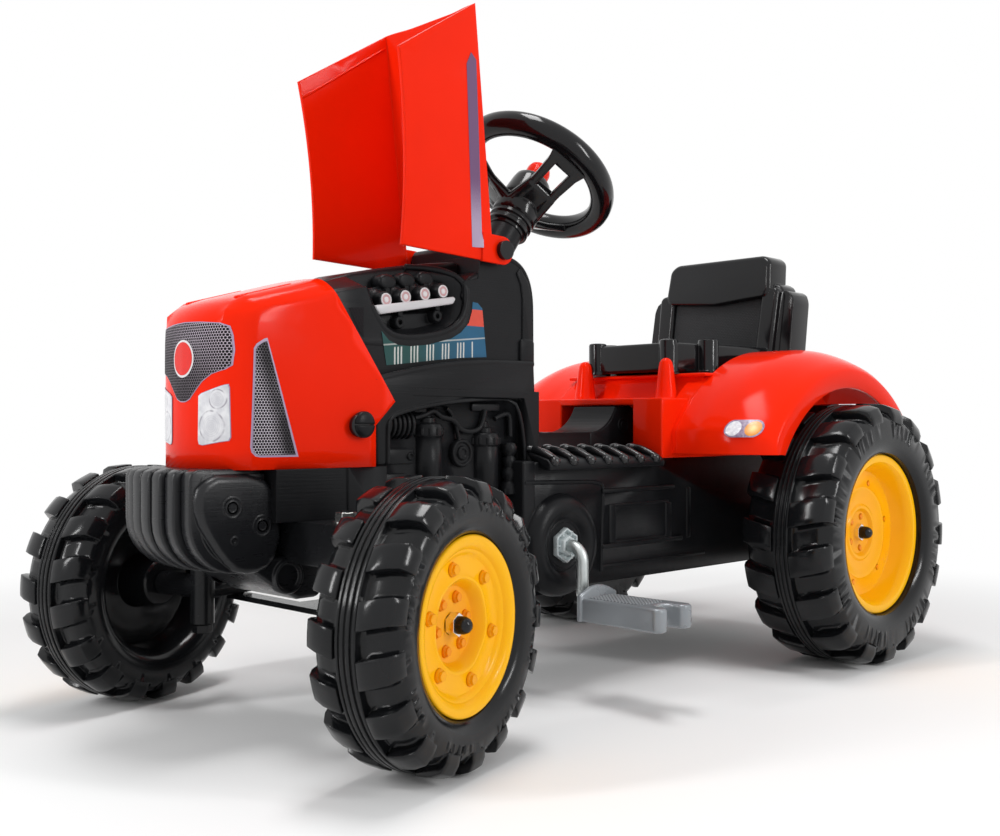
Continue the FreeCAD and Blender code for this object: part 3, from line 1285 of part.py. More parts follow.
def saddle(seat_bolts):
    """Red moulding: hollow middle with a low front step, two fingers and a fender over each rear wheel."""
    front = REAR - S.saddle_front_ahead
    rear = REAR + S.saddle_rear_behind
    slope_foot = front + S.saddle_step_length
    slope_end = slope_foot + S.saddle_slope_length
    middle = side_prism("saddle_middle", [
        (front, S.chassis_top), (rear, S.chassis_top), (rear, S.saddle_top), (slope_end, S.saddle_top),
        (slope_foot, S.saddle_sill), (front, S.saddle_sill)], S.saddle_half_width)
    hollow = side_prism("saddle_hollow", [
        (front + S.wall, S.chassis_top - S.overrun), (rear - S.wall, S.chassis_top - S.overrun),
        (rear - S.wall, S.saddle_top - S.wall), (slope_end + S.wall, S.saddle_top - S.wall),
        (slope_foot + S.wall, S.saddle_sill - S.wall), (front + S.wall, S.saddle_sill - S.wall)],
        S.saddle_half_width - S.wall)
    inner, edge = S.saddle_half_width - S.wall, S.fender_edge_radius - S.fender_lip
    outer, flat, crown = S.fender_reach, S.fender_flat, S.fender_radius
    shell = [(inner, crown - S.wall), (inner, crown), (flat, crown), (outer, S.fender_edge_radius,
                                                                      -S.fender_round),
             (outer, edge), (outer - S.wall, edge), (outer - S.wall, S.fender_edge_radius - S.wall),
             (flat, crown - S.wall, S.fender_round - S.wall)]
    wall = [(S.fender_inner, edge), (S.fender_inner, crown - S.wall / 2),
            (S.fender_inner + S.wall, crown - S.wall / 2), (S.fender_inner + S.wall, edge)]
    left_fender, left_wall = fender("fender_left", shell), fender("fender_wall_left", wall)
    pieces = [left_fender, mirrored("fender_right", left_fender)]
    for side, word in ((1, "left"), (-1, "right")):
        finger_y = REAR - S.seat_front_ahead - S.finger_radius - S.gap
        finger_height = S.saddle_top - S.saddle_sill + S.finger_rise + S.wall
        pieces.append(post(f"finger_{word}", S.finger_radius, finger_height, side * S.finger_offset, finger_y,
                           S.saddle_sill - S.wall))
    seat_space = wide_box("seat_space", S.fender_inner, REAR - S.deck_ahead, REAR + S.fender_radius,
                          S.saddle_top,
                          S.saddle_top + S.fender_radius)
    red = cut("saddle_shell", fuse("saddle_whole", middle, *pieces), hollow, seat_space)
    deck = wide_box("saddle_deck", S.fender_inner + S.wall, REAR - S.deck_ahead, rear,
                    S.saddle_top - S.wall,
                    S.saddle_top)
    whole = fuse("saddle_joined", red, deck, left_wall, mirrored("fender_wall_right", left_wall))
    bolts = saddle_bolts(front)
    node("saddle", cut("saddle_cut", whole, bolts, seat_bolts))
    return bolts


def fender(name, section):
    """A section (X, radius) swept about the rear axle from the fender's rear end to its front end."""
    sweep = 2 * QUARTER_TURN - S.fender_front_angle.value - S.fender_rear_angle.value
    whole = group(name, turning(name + "_sweep", section, sweep))
    return put(whole, 0, REAR, AXLE_REAR, X_AXIS, S.fender_rear_angle.value - QUARTER_TURN)


def saddle_bolts(front):
    """Two bolts from inside the saddle's front wall into the spine."""
    bolts = []
    z = S.chassis_top + S.spine_low_rise / 2
    for side, word in ((1, "left"), (-1, "right")):
        bolts.append(bolt(f"saddle_bolt_{word}", side * S.spine_half_width / 2, front + S.wall, z, X_AXIS,
                          QUARTER_TURN, S.bolt_length))
    return node("saddle_bolts", group("saddle_bolts_group", *bolts))


def seat_bolt_group():
    """Four bolts up through the saddle's top into the seat's feet."""
    bolts = []
    for index, (x, y) in enumerate(seat_feet()):
        bolts.append(bolt(f"seat_bolt_{index}", x, y, S.saddle_top - S.wall, Z_AXIS, 0, S.bolt_length))
    return node("seat_bolts", group("seat_bolts_group", *bolts))


def seat_feet():
    """The four places where the seat stands on the saddle."""
    front = REAR - S.seat_front_ahead + S.seat_boss_radius
    rear = REAR + S.back_front_behind
    places = []
    for y in (front + S.seat_boss_radius, rear):
        for side in (1, -1):
            places.append((side * (S.seat_front_half_width - S.seat_boss_radius), y))
    return places


def seat(seat_bolts):
    """Black seat: pan that widens to the rear, leaning back with shoulders, and a narrower headrest."""
    front = REAR - S.seat_front_ahead
    rear = REAR + S.seat_rear_behind
    back_foot = REAR + S.back_front_behind
    pan = prism("seat_pan", "XY_Plane", [
        (-S.seat_front_half_width, front), (S.seat_front_half_width, front), (S.seat_rear_half_width, rear),
        (-S.seat_rear_half_width, rear)], S.seat_top - S.seat_foot, S.seat_foot, False)
    back = side_prism("seat_back", [
        (back_foot, S.seat_foot), (back_foot + S.back_thickness, S.seat_foot),
        (back_foot + S.back_thickness + S.back_lean, S.back_height), (back_foot + S.back_lean,
                                                                      S.back_height)],
        S.back_half_width)
    rise = (S.shoulder_foot - S.seat_foot) / (S.back_height - S.seat_foot)
    foot_lean = S.back_lean * rise
    shoulders = side_prism("seat_shoulders", [
        (back_foot + foot_lean, S.shoulder_foot), (back_foot + S.back_thickness + foot_lean,
                                                   S.shoulder_foot),
        (back_foot + S.back_thickness + S.back_lean, S.back_height - S.headrest_round),
        (back_foot + S.back_lean, S.back_height - S.headrest_round)], S.shoulder_half_width)
    head = side_prism("seat_headrest", [
        (back_foot + S.back_lean / 2, (S.seat_top + S.back_height) / 2),
        (back_foot + S.back_thickness + S.back_lean / 2, (S.seat_top + S.back_height) / 2),
        (back_foot + S.back_thickness + S.back_lean, S.headrest_height - S.headrest_round),
        (back_foot + S.back_thickness + S.back_lean - S.headrest_round, S.headrest_height,
         S.headrest_round),
        (back_foot + S.back_lean, S.headrest_height - S.headrest_round / 2)], S.headrest_half_width)
    feet = []
    for index, (x, y) in enumerate(seat_feet()):
        feet.append(post(f"seat_foot_{index}", S.seat_boss_radius, S.seat_top - S.saddle_top, x, y,
                         S.saddle_top))
    node("seat", cut("seat_cut", fuse("seat_whole", pan, back, shoulders, head, *feet), seat_bolts))


def check_and_write():
    """Every object has to be sound before any file is written."""
    doc.recompute()
    faults = [item.Name for item in doc.Objects if "Invalid" in item.State or "Error" in item.State]
    for name, item in nodes.items():
        shape = item.Shape
        if shape.isNull() or not shape.isValid() or not shape.Solids:
            faults.append(name)
    if faults:
        raise RuntimeError("unsound: " + ", ".join(faults))
    os.makedirs("parts", exist_ok=True)
    for name, item in nodes.items():
        solids = item.Shape.Solids
        shape = solids[0] if len(solids) == 1 else Part.makeCompound(solids)
        shape.exportStep(f"parts/{name}.step")
        print(name, len(solids), "solids", round(shape.Volume), "mm3")


wheels()
front_axle()
tube_place, shaft_place = steering()
under_seat = seat_bolt_group()
front_bolts = saddle(under_seat)
rear_bolts = tow_hitch()
chassis(shaft_place, front_bolts, rear_bolts, nodes["axle_beam_bolts"])
engine_housing(tube_place, shaft_place)
bonnet()
front_cowl()
front_weights()
crank_and_pedals()
drive()
seat(under_seat)
check_and_write()
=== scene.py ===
# %% [markdown]
# # A pedal tractor, dressed
# The solids of the tractor come in as a fixed frame, in metres: +X is the rider's left, -Y is ahead and
# +Z is up. Everything below adds finishes and finer pieces to that frame without moving it.

# %% Load the frame
import json
import math

import bmesh
import bpy
from mathutils import Matrix, Vector
from mathutils.bvhtree import BVHTree


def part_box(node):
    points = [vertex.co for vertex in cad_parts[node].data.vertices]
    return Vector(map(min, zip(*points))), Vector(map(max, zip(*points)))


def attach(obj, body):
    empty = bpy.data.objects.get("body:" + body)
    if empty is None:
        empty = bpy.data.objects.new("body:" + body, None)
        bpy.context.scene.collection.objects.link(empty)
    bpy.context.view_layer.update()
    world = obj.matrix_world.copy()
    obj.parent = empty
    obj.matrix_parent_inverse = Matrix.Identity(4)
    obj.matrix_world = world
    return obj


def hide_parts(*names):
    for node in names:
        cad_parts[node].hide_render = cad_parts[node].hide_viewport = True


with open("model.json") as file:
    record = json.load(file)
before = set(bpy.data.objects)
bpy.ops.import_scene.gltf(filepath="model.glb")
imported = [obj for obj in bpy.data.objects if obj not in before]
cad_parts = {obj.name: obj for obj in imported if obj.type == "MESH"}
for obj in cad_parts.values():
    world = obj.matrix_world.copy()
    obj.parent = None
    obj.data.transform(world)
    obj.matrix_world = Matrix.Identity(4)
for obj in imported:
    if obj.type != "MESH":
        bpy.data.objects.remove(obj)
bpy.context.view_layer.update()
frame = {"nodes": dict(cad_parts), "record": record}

# %% [markdown]
# ## Camera
# The picture was taken from the front left, low, about a metre away. A camera that stands where the
# photographer stood makes every later comparison simple, so it comes before any piece.

# %% Camera
MM = 0.001
CAMERA_SPOT, CAMERA_LENS, CAMERA_SENSOR = (0.6938, -0.71785, 0.2145), 41.57, 36
azimuth, elevation = math.radians(45.145), math.radians(-0.335)
back = Vector((math.sin(azimuth) * math.cos(elevation), -math.cos(azimuth) * math.cos(elevation),
               math.sin(elevation)))
camera = bpy.data.objects.new("camera", bpy.data.cameras.new("camera"))
bpy.context.scene.collection.objects.link(camera)
camera.location = CAMERA_SPOT
camera.rotation_euler = (-back).to_track_quat("-Z", "Y").to_euler()
camera.data.sensor_width, camera.data.lens = CAMERA_SENSOR, CAMERA_LENS
bpy.context.scene.camera = camera
print("camera looks along", [round(value, 3) for value in -back])

# %% [markdown]
# ## Shader maths
# A finish is a small sum of patterns. Wrapping a socket in a class with operators lets the sums be
# written as plain expressions, and one method adds every other kind of node.

# %% Wire
class Wire:
    """One output socket of a shader tree. Arithmetic on it adds Math nodes."""

    def __init__(self, tree, socket=None):
        self.tree = tree
        self.socket = socket

    def node(self, kind, links=None, out=0, **settings):
        """Add a node: its settings first, then the values or links of its sockets."""
        item = self.tree.nodes.new(kind)
        for key, value in settings.items():
            setattr(item, key, value)
        for key, value in (links or {}).items():
            if isinstance(value, Wire):
                self.tree.links.new(value.socket, item.inputs[key])
            else:
                item.inputs[key].default_value = value
        return Wire(self.tree, None if out is None else item.outputs[out])

    def maths(self, operation, *values):
        return self.node("ShaderNodeMath", dict(enumerate(values)), operation=operation)

    def __add__(self, other):
        return self.maths("ADD", self, other)

    def __sub__(self, other):
        return self.maths("SUBTRACT", self, other)

    def __rsub__(self, other):
        return self.maths("SUBTRACT", other, self)

    def __mul__(self, other):
        return self.maths("MULTIPLY", self, other)

    def __pow__(self, other):
        return self.maths("POWER", self, other)

    def __abs__(self):
        return self.maths("ABSOLUTE", self)

    __radd__ = __add__
    __rmul__ = __mul__

    def least(self, other):
        return self.maths("MINIMUM", self, other)

    def most(self, other):
        return self.maths("MAXIMUM", self, other)

    def part(self):
        return self.maths("FRACT", self)

    def step(self, low, high):
        """A smooth step: 0 below low, 1 above high. A low above high turns it round."""
        flip = low > high
        rise = self.node("ShaderNodeMapRange", {"Value": self, "From Min": min(low, high),
                                                "From Max": max(low, high)},
                         interpolation_type="SMOOTHSTEP")
        return 1 - rise if flip else rise

    def mix(self, first, second):
        """A colour that goes from the first to the second as this value goes from 0 to 1."""
        item = self.node("ShaderNodeMix", {"Factor": self}, out="Result", data_type="RGBA")
        box = item.socket.node
        for place, colour in ((6, first), (7, second)):
            if isinstance(colour, Wire):
                self.tree.links.new(colour.socket, box.inputs[place])
            else:
                box.inputs[place].default_value = (*colour, 1)
        return Wire(self.tree, box.outputs[2])


print("wires can add, multiply, step and mix")

# %% Shader trees
def new_finish(name):
    """An empty material and the wire that starts its tree."""
    finish = bpy.data.materials.new(name)
    finish.use_nodes = True
    finish.node_tree.nodes.clear()
    return finish, Wire(finish.node_tree)


def place_of(wire):
    """Object coordinates, and the same split into metres along X, Y and Z."""
    spot = wire.node("ShaderNodeTexCoord", out="Object")
    axes = [wire.node("ShaderNodeSeparateXYZ", {0: spot}, out=index) for index in range(3)]
    return spot, axes


def noise(wire, spot, scale, detail=2, stretch=None):
    """A cloudy pattern from 0 to 1, stretched where the three factors differ."""
    if stretch:
        spot = wire.node("ShaderNodeMapping", {"Vector": spot, "Scale": stretch})
    return wire.node("ShaderNodeTexNoise", {"Vector": spot, "Scale": scale, "Detail": detail})


def surface(wire, links, bumps=(), rounding=0):
    """Close a tree with one plastic or metal shader. Bumps are pairs of height and depth in metres."""
    normal = None
    if rounding:
        normal = wire.node("ShaderNodeBevel", {"Radius": rounding}, samples=4)
    for height, depth in bumps:
        sockets = {"Height": height, "Strength": 1, "Distance": depth}
        if normal:
            sockets["Normal"] = normal
        normal = wire.node("ShaderNodeBump", sockets)
    if normal:
        links = {**links, "Normal": normal}
    shader = wire.node("ShaderNodeBsdfPrincipled", links)
    wire.node("ShaderNodeOutputMaterial", {"Surface": shader}, out=None)


print("shader helpers ready")

# %% [markdown]
# ## Studio
# The toy stands on a pale floor in soft light. The floor keeps the shadow close to the wheels and runs out
# to plain white, so no horizon shows. Rays that come straight from the camera, or off a glossy surface,
# see a white room, while the light on the toy itself stays at a plain level.

# %% Studio
ROOM_LIGHT, FLOOR_HALF, FLOOR_DROP = 0.53, 6, 0.0004
SHADOW_REACH, WHITE_REACH = 0.5, 1.0


def seen_rays(wire):
    """1 where a ray comes from the camera, a reflection or through a clear piece."""
    rays = [wire.node("ShaderNodeLightPath", out=f"Is {kind} Ray") for kind in ("Camera", "Glossy", "Transmission")]
    return rays[0].most(rays[1]).most(rays[2])


def softbox(name, spot, aim, size, power):
    lamp = bpy.data.lights.new(name, "AREA")
    lamp.shape = "RECTANGLE"
    lamp.size, lamp.size_y = size
    lamp.energy = power
    item = bpy.data.objects.new(name, lamp)
    bpy.context.scene.collection.objects.link(item)
    item.location = spot
    item.rotation_euler = (Vector(aim) - Vector(spot)).to_track_quat("-Z", "Y").to_euler()


bpy.context.scene.view_settings.view_transform = "Standard"
room = bpy.data.worlds.new("room")
room.use_nodes = True
room.node_tree.nodes.clear()
sky = Wire(room.node_tree)
glow = sky.node("ShaderNodeBackground", {"Color": (1, 1, 1, 1),
                                         "Strength": seen_rays(sky) * (1 - ROOM_LIGHT) + ROOM_LIGHT})
sky.node("ShaderNodeOutputWorld", {"Surface": glow}, out=None)
bpy.context.scene.world = room
softbox("overhead", (0.1, -0.1, 1.5), (0, 0, 0.2), (0.3, 0.6), 8)
softbox("left_front", (-0.35, -1.6, 0.9), (0, 0, 0.25), (0.16, 0.8), 10)
softbox("right_side", (1.65, 0.45, 0.9), (0, 0.1, 0.25), (0.16, 0.8), 10)
print("room lit by", len(bpy.data.lights), "softboxes")

# %% Floor
floor_finish, wire = new_finish("floor_white")
spot, (along, ahead, up) = place_of(wire)
far = ((along * along + ahead * ahead) ** 0.5).step(SHADOW_REACH, WHITE_REACH)
matt = wire.node("ShaderNodeBsdfDiffuse", {"Color": (0.92, 0.92, 0.92, 1)})
white = wire.node("ShaderNodeEmission", {"Color": (1, 1, 1, 1), "Strength": 1.0})
both = wire.node("ShaderNodeMixShader", {0: far * seen_rays(wire), 1: matt, 2: white})
wire.node("ShaderNodeOutputMaterial", {"Surface": both}, out=None)
bm = bmesh.new()
bmesh.ops.create_grid(bm, x_segments=2, y_segments=2, size=FLOOR_HALF,
                      matrix=Matrix.Translation((0, 0, -FLOOR_DROP)))
floor_mesh = bpy.data.meshes.new("floor")
bm.to_mesh(floor_mesh)
bm.free()
floor_mesh.materials.append(floor_finish)
floor = bpy.data.objects.new("floor", floor_mesh)
bpy.context.scene.collection.objects.link(floor)
print("floor laid,", 2 * FLOOR_HALF, "metres wide")

# %% [markdown]
# ## Finishes
# Nearly everything here is moulded plastic: gloss red, satin and gloss black, warm yellow, and a silver
# grey. Each has cloudy colour, a fine grain and edges rounded in the shading, and the satin black also
# has the fine level lines that a blow mould leaves. The metal is bright zinc plate.

# %% Finishes
MOULDED_EDGE, PLATED_EDGE = 0.0012, 0.0006


def moulded(name, colour, rough, grain=0.00002, grain_scale=900, cloud=0.06, lines=0, coat=0, gloss=0.3, metal=0):
    """Moulded plastic: cloudy colour, uneven gloss, a fine grain, and level mould lines where asked."""
    finish, wire = new_finish(name)
    spot = place_of(wire)[0]
    clouds = noise(wire, spot, 14, 4)
    marks = noise(wire, spot, 120, 5)
    dark = tuple(value * (1 - cloud) for value in colour)
    pale = tuple(min(1, value * (1 + cloud) + cloud * 0.004) for value in colour)
    bumps = [(noise(wire, spot, grain_scale, 2), grain)]
    roughness = clouds * 0.06 + marks.step(0.45, 0.75) * 0.05 + (rough - 0.05)
    if lines:
        bumps.append((noise(wire, spot, 1, 3, (25, 25, 1100)), lines))
        roughness = roughness + noise(wire, spot, 1, 2, (18, 18, 500)) * 0.08
    links = {"Base Color": clouds.step(0.25, 0.75).mix(dark, pale), "Roughness": roughness,
             "Specular IOR Level": gloss, "Metallic": metal, "Coat Weight": coat, "Coat Roughness": 0.06}
    surface(wire, links, bumps, MOULDED_EDGE)
    return finish


def plated(name, colour, rough):
    """Zinc plate: bright metal with faint spangle and light handling marks."""
    finish, wire = new_finish(name)
    spot = place_of(wire)[0]
    spangle = noise(wire, spot, 260, 4)
    marks = noise(wire, spot, 900, 3)
    pale = tuple(min(1, value * 1.12) for value in colour)
    links = {"Base Color": spangle.step(0.2, 0.8).mix(colour, pale), "Metallic": 1.0,
             "Roughness": spangle * 0.12 + marks * 0.08 + (rough - 0.1)}
    surface(wire, links, [(marks, 0.000012)], PLATED_EDGE)
    return finish


RED, BLACK = (0.92, 0.020, 0.002), (0.0085, 0.0088, 0.0100)
red_gloss = moulded("red_gloss", RED, 0.15, 0.00001, 260, 0.03, gloss=0.07)
black_satin = moulded("black_satin", BLACK, 0.3, 0.00004, 1300, 0.15, lines=0.0001, gloss=0.13)
black_gloss = moulded("black_gloss", (0.006, 0.006, 0.007), 0.14, 0.00001, 300, 0.1, gloss=0.3)
wheel_black = moulded("wheel_black", (0.006, 0.0064, 0.0074), 0.17, 0.00002, 700, 0.12, gloss=0.26)
yellow = moulded("yellow", (1.0, 0.49, 0.003), 0.3, 0.00002, 500, 0.04, gloss=0.1)
grey_plastic = moulded("grey_plastic", (0.27, 0.29, 0.31), 0.3, 0.00003, 1500, 0.1, coat=0.1, metal=0.35)
zinc_steel = plated("zinc_steel", (0.50, 0.53, 0.525), 0.42)
black_steel = moulded("black_steel", (0.009, 0.0094, 0.0105), 0.26, 0.00003, 1100, 0.2, gloss=0.2)
bright_zinc = plated("bright_zinc", (0.78, 0.77, 0.75), 0.2)
print("finishes mixed")

# %% Finishes on the solids
SLOT_FINISH = {"red_gloss": red_gloss, "black_satin": black_satin, "black_gloss": black_gloss,
               "wheel_black": wheel_black, "yellow": yellow, "grey_plastic": grey_plastic,
               "zinc_steel": zinc_steel}
for row in frame["record"]["subparts"]:
    for holder in frame["nodes"][row["node"]].material_slots:
        painted = "knuckle" in row["node"] or row["node"] in ("tie_rod", "front_axle_beam", "kingpin_bolts")
        bright = row["node"].endswith(("axle_nut", "axle_nuts", "kingpin_nuts"))
        holder.material = (black_steel if painted else bright_zinc if bright
                           else SLOT_FINISH[row["material_slot"]])

# %% [markdown]
# ## Mesh helpers
# Each piece starts as a basic shape or a short chain of points, is pushed about by mesh operators, and
# ends as an object at the origin with its place in its points. Lengths below are in millimetres, like
# a workshop drawing, and become metres in one place.

# %% Mesh helpers
def chain(bm, points, closed=False):
    """Points in millimetres joined by edges."""
    verts = [bm.verts.new(Vector(point) * MM) for point in points]
    ends = verts[1:] + verts[:1] if closed else verts[1:]
    return verts, [bm.edges.new(pair) for pair in zip(verts, ends)]


def lathe(bm, profile, steps, turn=360, start=0):
    """Spin a profile of (place along X, radius) about the X axis. It starts straight up."""
    verts, edges = chain(bm, [(along, 0, radius) for along, radius in profile])
    if start:
        bmesh.ops.rotate(bm, verts=verts, cent=(0, 0, 0), matrix=Matrix.Rotation(math.radians(start), 3, "X"))
    bmesh.ops.spin(bm, geom=verts + edges, cent=(0, 0, 0), axis=(1, 0, 0), angle=math.radians(turn),
                   steps=steps, use_merge=turn == 360)
    bmesh.ops.remove_doubles(bm, verts=bm.verts, dist=1e-6)


def slab(bm, outline, push):
    """A flat outline pushed along a vector, both in millimetres."""
    face = bm.faces.new(chain(bm, outline, True)[0])
    grown = bmesh.ops.extrude_face_region(bm, geom=[face], use_keep_orig=True)["geom"]
    verts = only(bmesh.types.BMVert, grown)
    bmesh.ops.translate(bm, verts=verts, vec=Vector(push) * MM)


def block(bm, size, spot, turn=None):
    """A box of the given sizes about a point."""
    frame_of = Matrix.Translation(Vector(spot) * MM)
    if turn:
        frame_of = frame_of @ Matrix.Rotation(math.radians(turn[0]), 4, turn[1])
    bmesh.ops.create_cube(bm, size=1, matrix=frame_of @ Matrix.Diagonal((*(Vector(size) * MM), 1)))


def ball(bm, radius, spot, squash):
    bmesh.ops.create_uvsphere(bm, u_segments=20, v_segments=12, radius=radius * MM,
                              matrix=Matrix.Translation(Vector(spot) * MM) @ Matrix.Diagonal((*squash, 1)))


def can(bm, radius, top, length, spot, sides):
    """A capped cone that stands on a point along X, from the radius of its foot to that of its top."""
    turn, lift = Matrix.Rotation(math.pi / 2, 4, "Y"), Matrix.Translation((0, 0, length * MM / 2))
    bmesh.ops.create_cone(bm, cap_ends=True, segments=sides, radius1=radius * MM, radius2=top * MM,
                          depth=length * MM, matrix=Matrix.Translation(Vector(spot) * MM) @ turn @ lift)


def soften(bm, width, segments, angle=30, where=None):
    """Round the edges that are sharper than an angle."""
    bmesh.ops.recalc_face_normals(bm, faces=bm.faces)
    edges = [edge for edge in bm.edges if len(edge.link_faces) == 2 and
             edge.calc_face_angle() > math.radians(angle) and (where is None or where(edge))]
    bmesh.ops.bevel(bm, geom=edges, offset=width * MM, offset_type="OFFSET", affect="EDGES",
                    segments=segments, profile=0.5, material=-1, clamp_overlap=True)


print("shape helpers ready")

# %% Pieces
def piece(name, bm, finish, body, stands_for=(), smooth=38, place=None, tidy=True):
    """Make the object, let it ride on a body, and hide the nodes it stands for."""
    if tidy:
        bmesh.ops.remove_doubles(bm, verts=bm.verts, dist=1e-6)
        bmesh.ops.recalc_face_normals(bm, faces=bm.faces)
    if place:
        bmesh.ops.transform(bm, matrix=place, verts=bm.verts)
    mesh = bpy.data.meshes.new(name)
    bm.to_mesh(mesh)
    bm.free()
    mesh.shade_smooth()
    mesh.set_sharp_from_angle(angle=math.radians(smooth))
    mesh.materials.append(finish)
    item = bpy.data.objects.new(name, mesh)
    bpy.context.scene.collection.objects.link(item)
    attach(item, body)
    if stands_for:
        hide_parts(*stands_for)
    print(name, len(mesh.polygons), "faces")
    return item


def only(kind, geometry):
    """The points, edges or faces among what an operator gives back."""
    return [item for item in geometry if isinstance(item, kind)]


def merge(bm, *parts):
    """Move finished parts into one mesh."""
    for part in parts:
        mesh = bpy.data.meshes.new("part")
        part.to_mesh(mesh)
        bm.from_mesh(mesh)
        part.free()
        bpy.data.meshes.remove(mesh)


def mirrored(bm):
    """Add a copy of the mesh on the other side of the YZ plane."""
    copy = bmesh.ops.duplicate(bm, geom=bm.verts[:] + bm.edges[:] + bm.faces[:])["geom"]
    bmesh.ops.scale(bm, vec=(-1, 1, 1), verts=only(bmesh.types.BMVert, copy))
    bmesh.ops.reverse_faces(bm, faces=only(bmesh.types.BMFace, copy))


print("pieces can be made, merged and mirrored")

# %% Parts and cuts
TURNED = {"X": Matrix(), "Y": Matrix.Rotation(math.radians(90), 4, "Z"),
          "Z": Matrix.Rotation(math.radians(-90), 4, "Y")}


def turned(bm, profile, spot=(0, 0, 0), axis="X", steps=32):
    """A lathe part set on an axis through a point. The profile runs along that axis."""
    part = bmesh.new()
    lathe(part, profile, steps)
    bmesh.ops.transform(part, matrix=Matrix.Translation(Vector(spot) * MM) @ TURNED[axis], verts=part.verts)
    merge(bm, part)


def soft_blocks(bm, rows, width, segments):
    """Boxes with rounded edges, each a size and a place."""
    for size, spot in rows:
        part = bmesh.new()
        block(part, size, spot)
        soften(part, width, segments)
        merge(bm, part)


def side_slab(bm, outline, low, high, soft=0, segments=3):
    """An outline in the side view (Y, Z) pushed from one X to another, with soft edges."""
    part = bmesh.new()
    slab(part, [(low, y, z) for y, z in outline], (high - low, 0, 0))
    if soft:
        soften(part, soft, segments)
    merge(bm, part)


def within(value):
    """A share, held between 0 and 1."""
    return min(1, max(0, value))


def grid_cut(bm, axis, places):
    """Cut every face by planes across one axis, so that the surface can be pulled into a curve."""
    normal = [0, 0, 0]
    normal[axis] = 1
    for place in places:
        spot = [0, 0, 0]
        spot[axis] = place * MM
        bmesh.ops.bisect_plane(bm, geom=bm.verts[:] + bm.edges[:] + bm.faces[:], plane_co=spot, plane_no=normal,
                               dist=1e-6)


def span(low, high, step):
    return [low + step * k for k in range(1, int((high - low) / step))]


def skin_of(node):
    """A merged copy of a node's mesh, ready to be cut."""
    bm = bmesh.new()
    bm.from_mesh(frame["nodes"][node].data)
    bmesh.ops.remove_doubles(bm, verts=bm.verts, dist=1e-6)
    return bm


def middle(node):
    low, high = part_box(node)
    return (low + high) / 2


print("part helpers ready")

# %% [markdown]
# ## Wheels
# Each wheel is one hollow black moulding: two staggered rows of broad lugs beside a grooved centre band,
# a plain bulging side wall and a deep dish. A profile spun about the axle gives the carcass as a grid,
# so the lugs can be picked out of the grid as patches, pushed outwards and rounded. The lugs lean a
# little, which is a twist of the points by their distance from the middle.

# %% Wheel profile
PITCHES, CELLS, LUG_CELLS = 17, 8, 4
LUG_SEGMENTS, LUG_TWIST, LUG_ROUND, GROOVED_HALF = range(7, 12), -0.24, 0.9, 8
BAR_SEGMENT, BAR_RUN, BAR_SHARE, BAR_RISE = 6, 9, 0.62, 0.0006
ROUNDED_DEPTH, ROUNDED_FROM, STEER = 12, 0.0076, 15


def wheel_profile(radius, half, disc, inset, depth, lug):
    """The carcass from its outer dish round to its inner dish, and how many points its outer half has."""
    carcass, band = radius - lug, radius - 1.3
    web = half - inset - depth
    side = [(half - 5, disc + 2.2), (half - 2.4, disc + 5), (half - 0.8, disc + 10), (half - 0.2, disc + 15),
            (half - 0.6, carcass - 9), (half - 2.6, carcass - 5.5), (half - 6, carcass - 2.2),
            (half - 11, carcass - 0.6), (half * 0.45, carcass), (GROOVED_HALF, carcass + 0.4)]
    grooves = [(7.2, band - 0.6), (6.6, band), (4.9, band), (4.5, band - 1.2), (3.6, band - 1.2),
               (3.2, band + 0.3), (0.9, band + 0.3), (0.5, band - 0.9)]
    outer = [(web + 0.5, 14), (web + 0.5, disc + 0.6), (half - inset, disc + 0.8)] + side + grooves
    inner = [(-x, r) for x, r in reversed(side + grooves)]
    dish = [(-half + 9, disc - 1), (web - 8, disc - 4), (web - 6.5, disc - 9), (web - 6, 30), (web - 8, 21),
            (-half + 8, 17.5), (-half + 6.5, 16), (-half + 6.5, 8)]
    return outer + inner + dish, len(outer)


def lug_push(profile, lug, half):
    """How far a lug's top stands off the carcass at each point of the profile."""
    bands = ((GROOVED_HALF + 0.1, 0, lug * 0.90), (half - 8, 0, lug * 0.97), (half - 4, 2.6, lug * 0.80),
             (half - 1.5, 2.2, lug * 0.38), (math.inf, 0.7, 0.3))
    push = {}
    for x, r in profile:
        shift, rise = next((shift, rise) for reach, shift, rise in bands if abs(x) < reach)
        push[(x, r)] = (math.copysign(shift, x), rise)
    return push


def wheel_spot(node, outward, steer):
    """Where a wheel's own axis sits on the toy. Its +X is outwards."""
    return (Matrix.Translation(middle(node)) @ Matrix.Rotation(math.radians(steer), 4, "Z")
            @ Matrix.Rotation(0 if outward > 0 else math.pi, 4, "Z"))


print("lugs round each wheel", 2 * PITCHES)

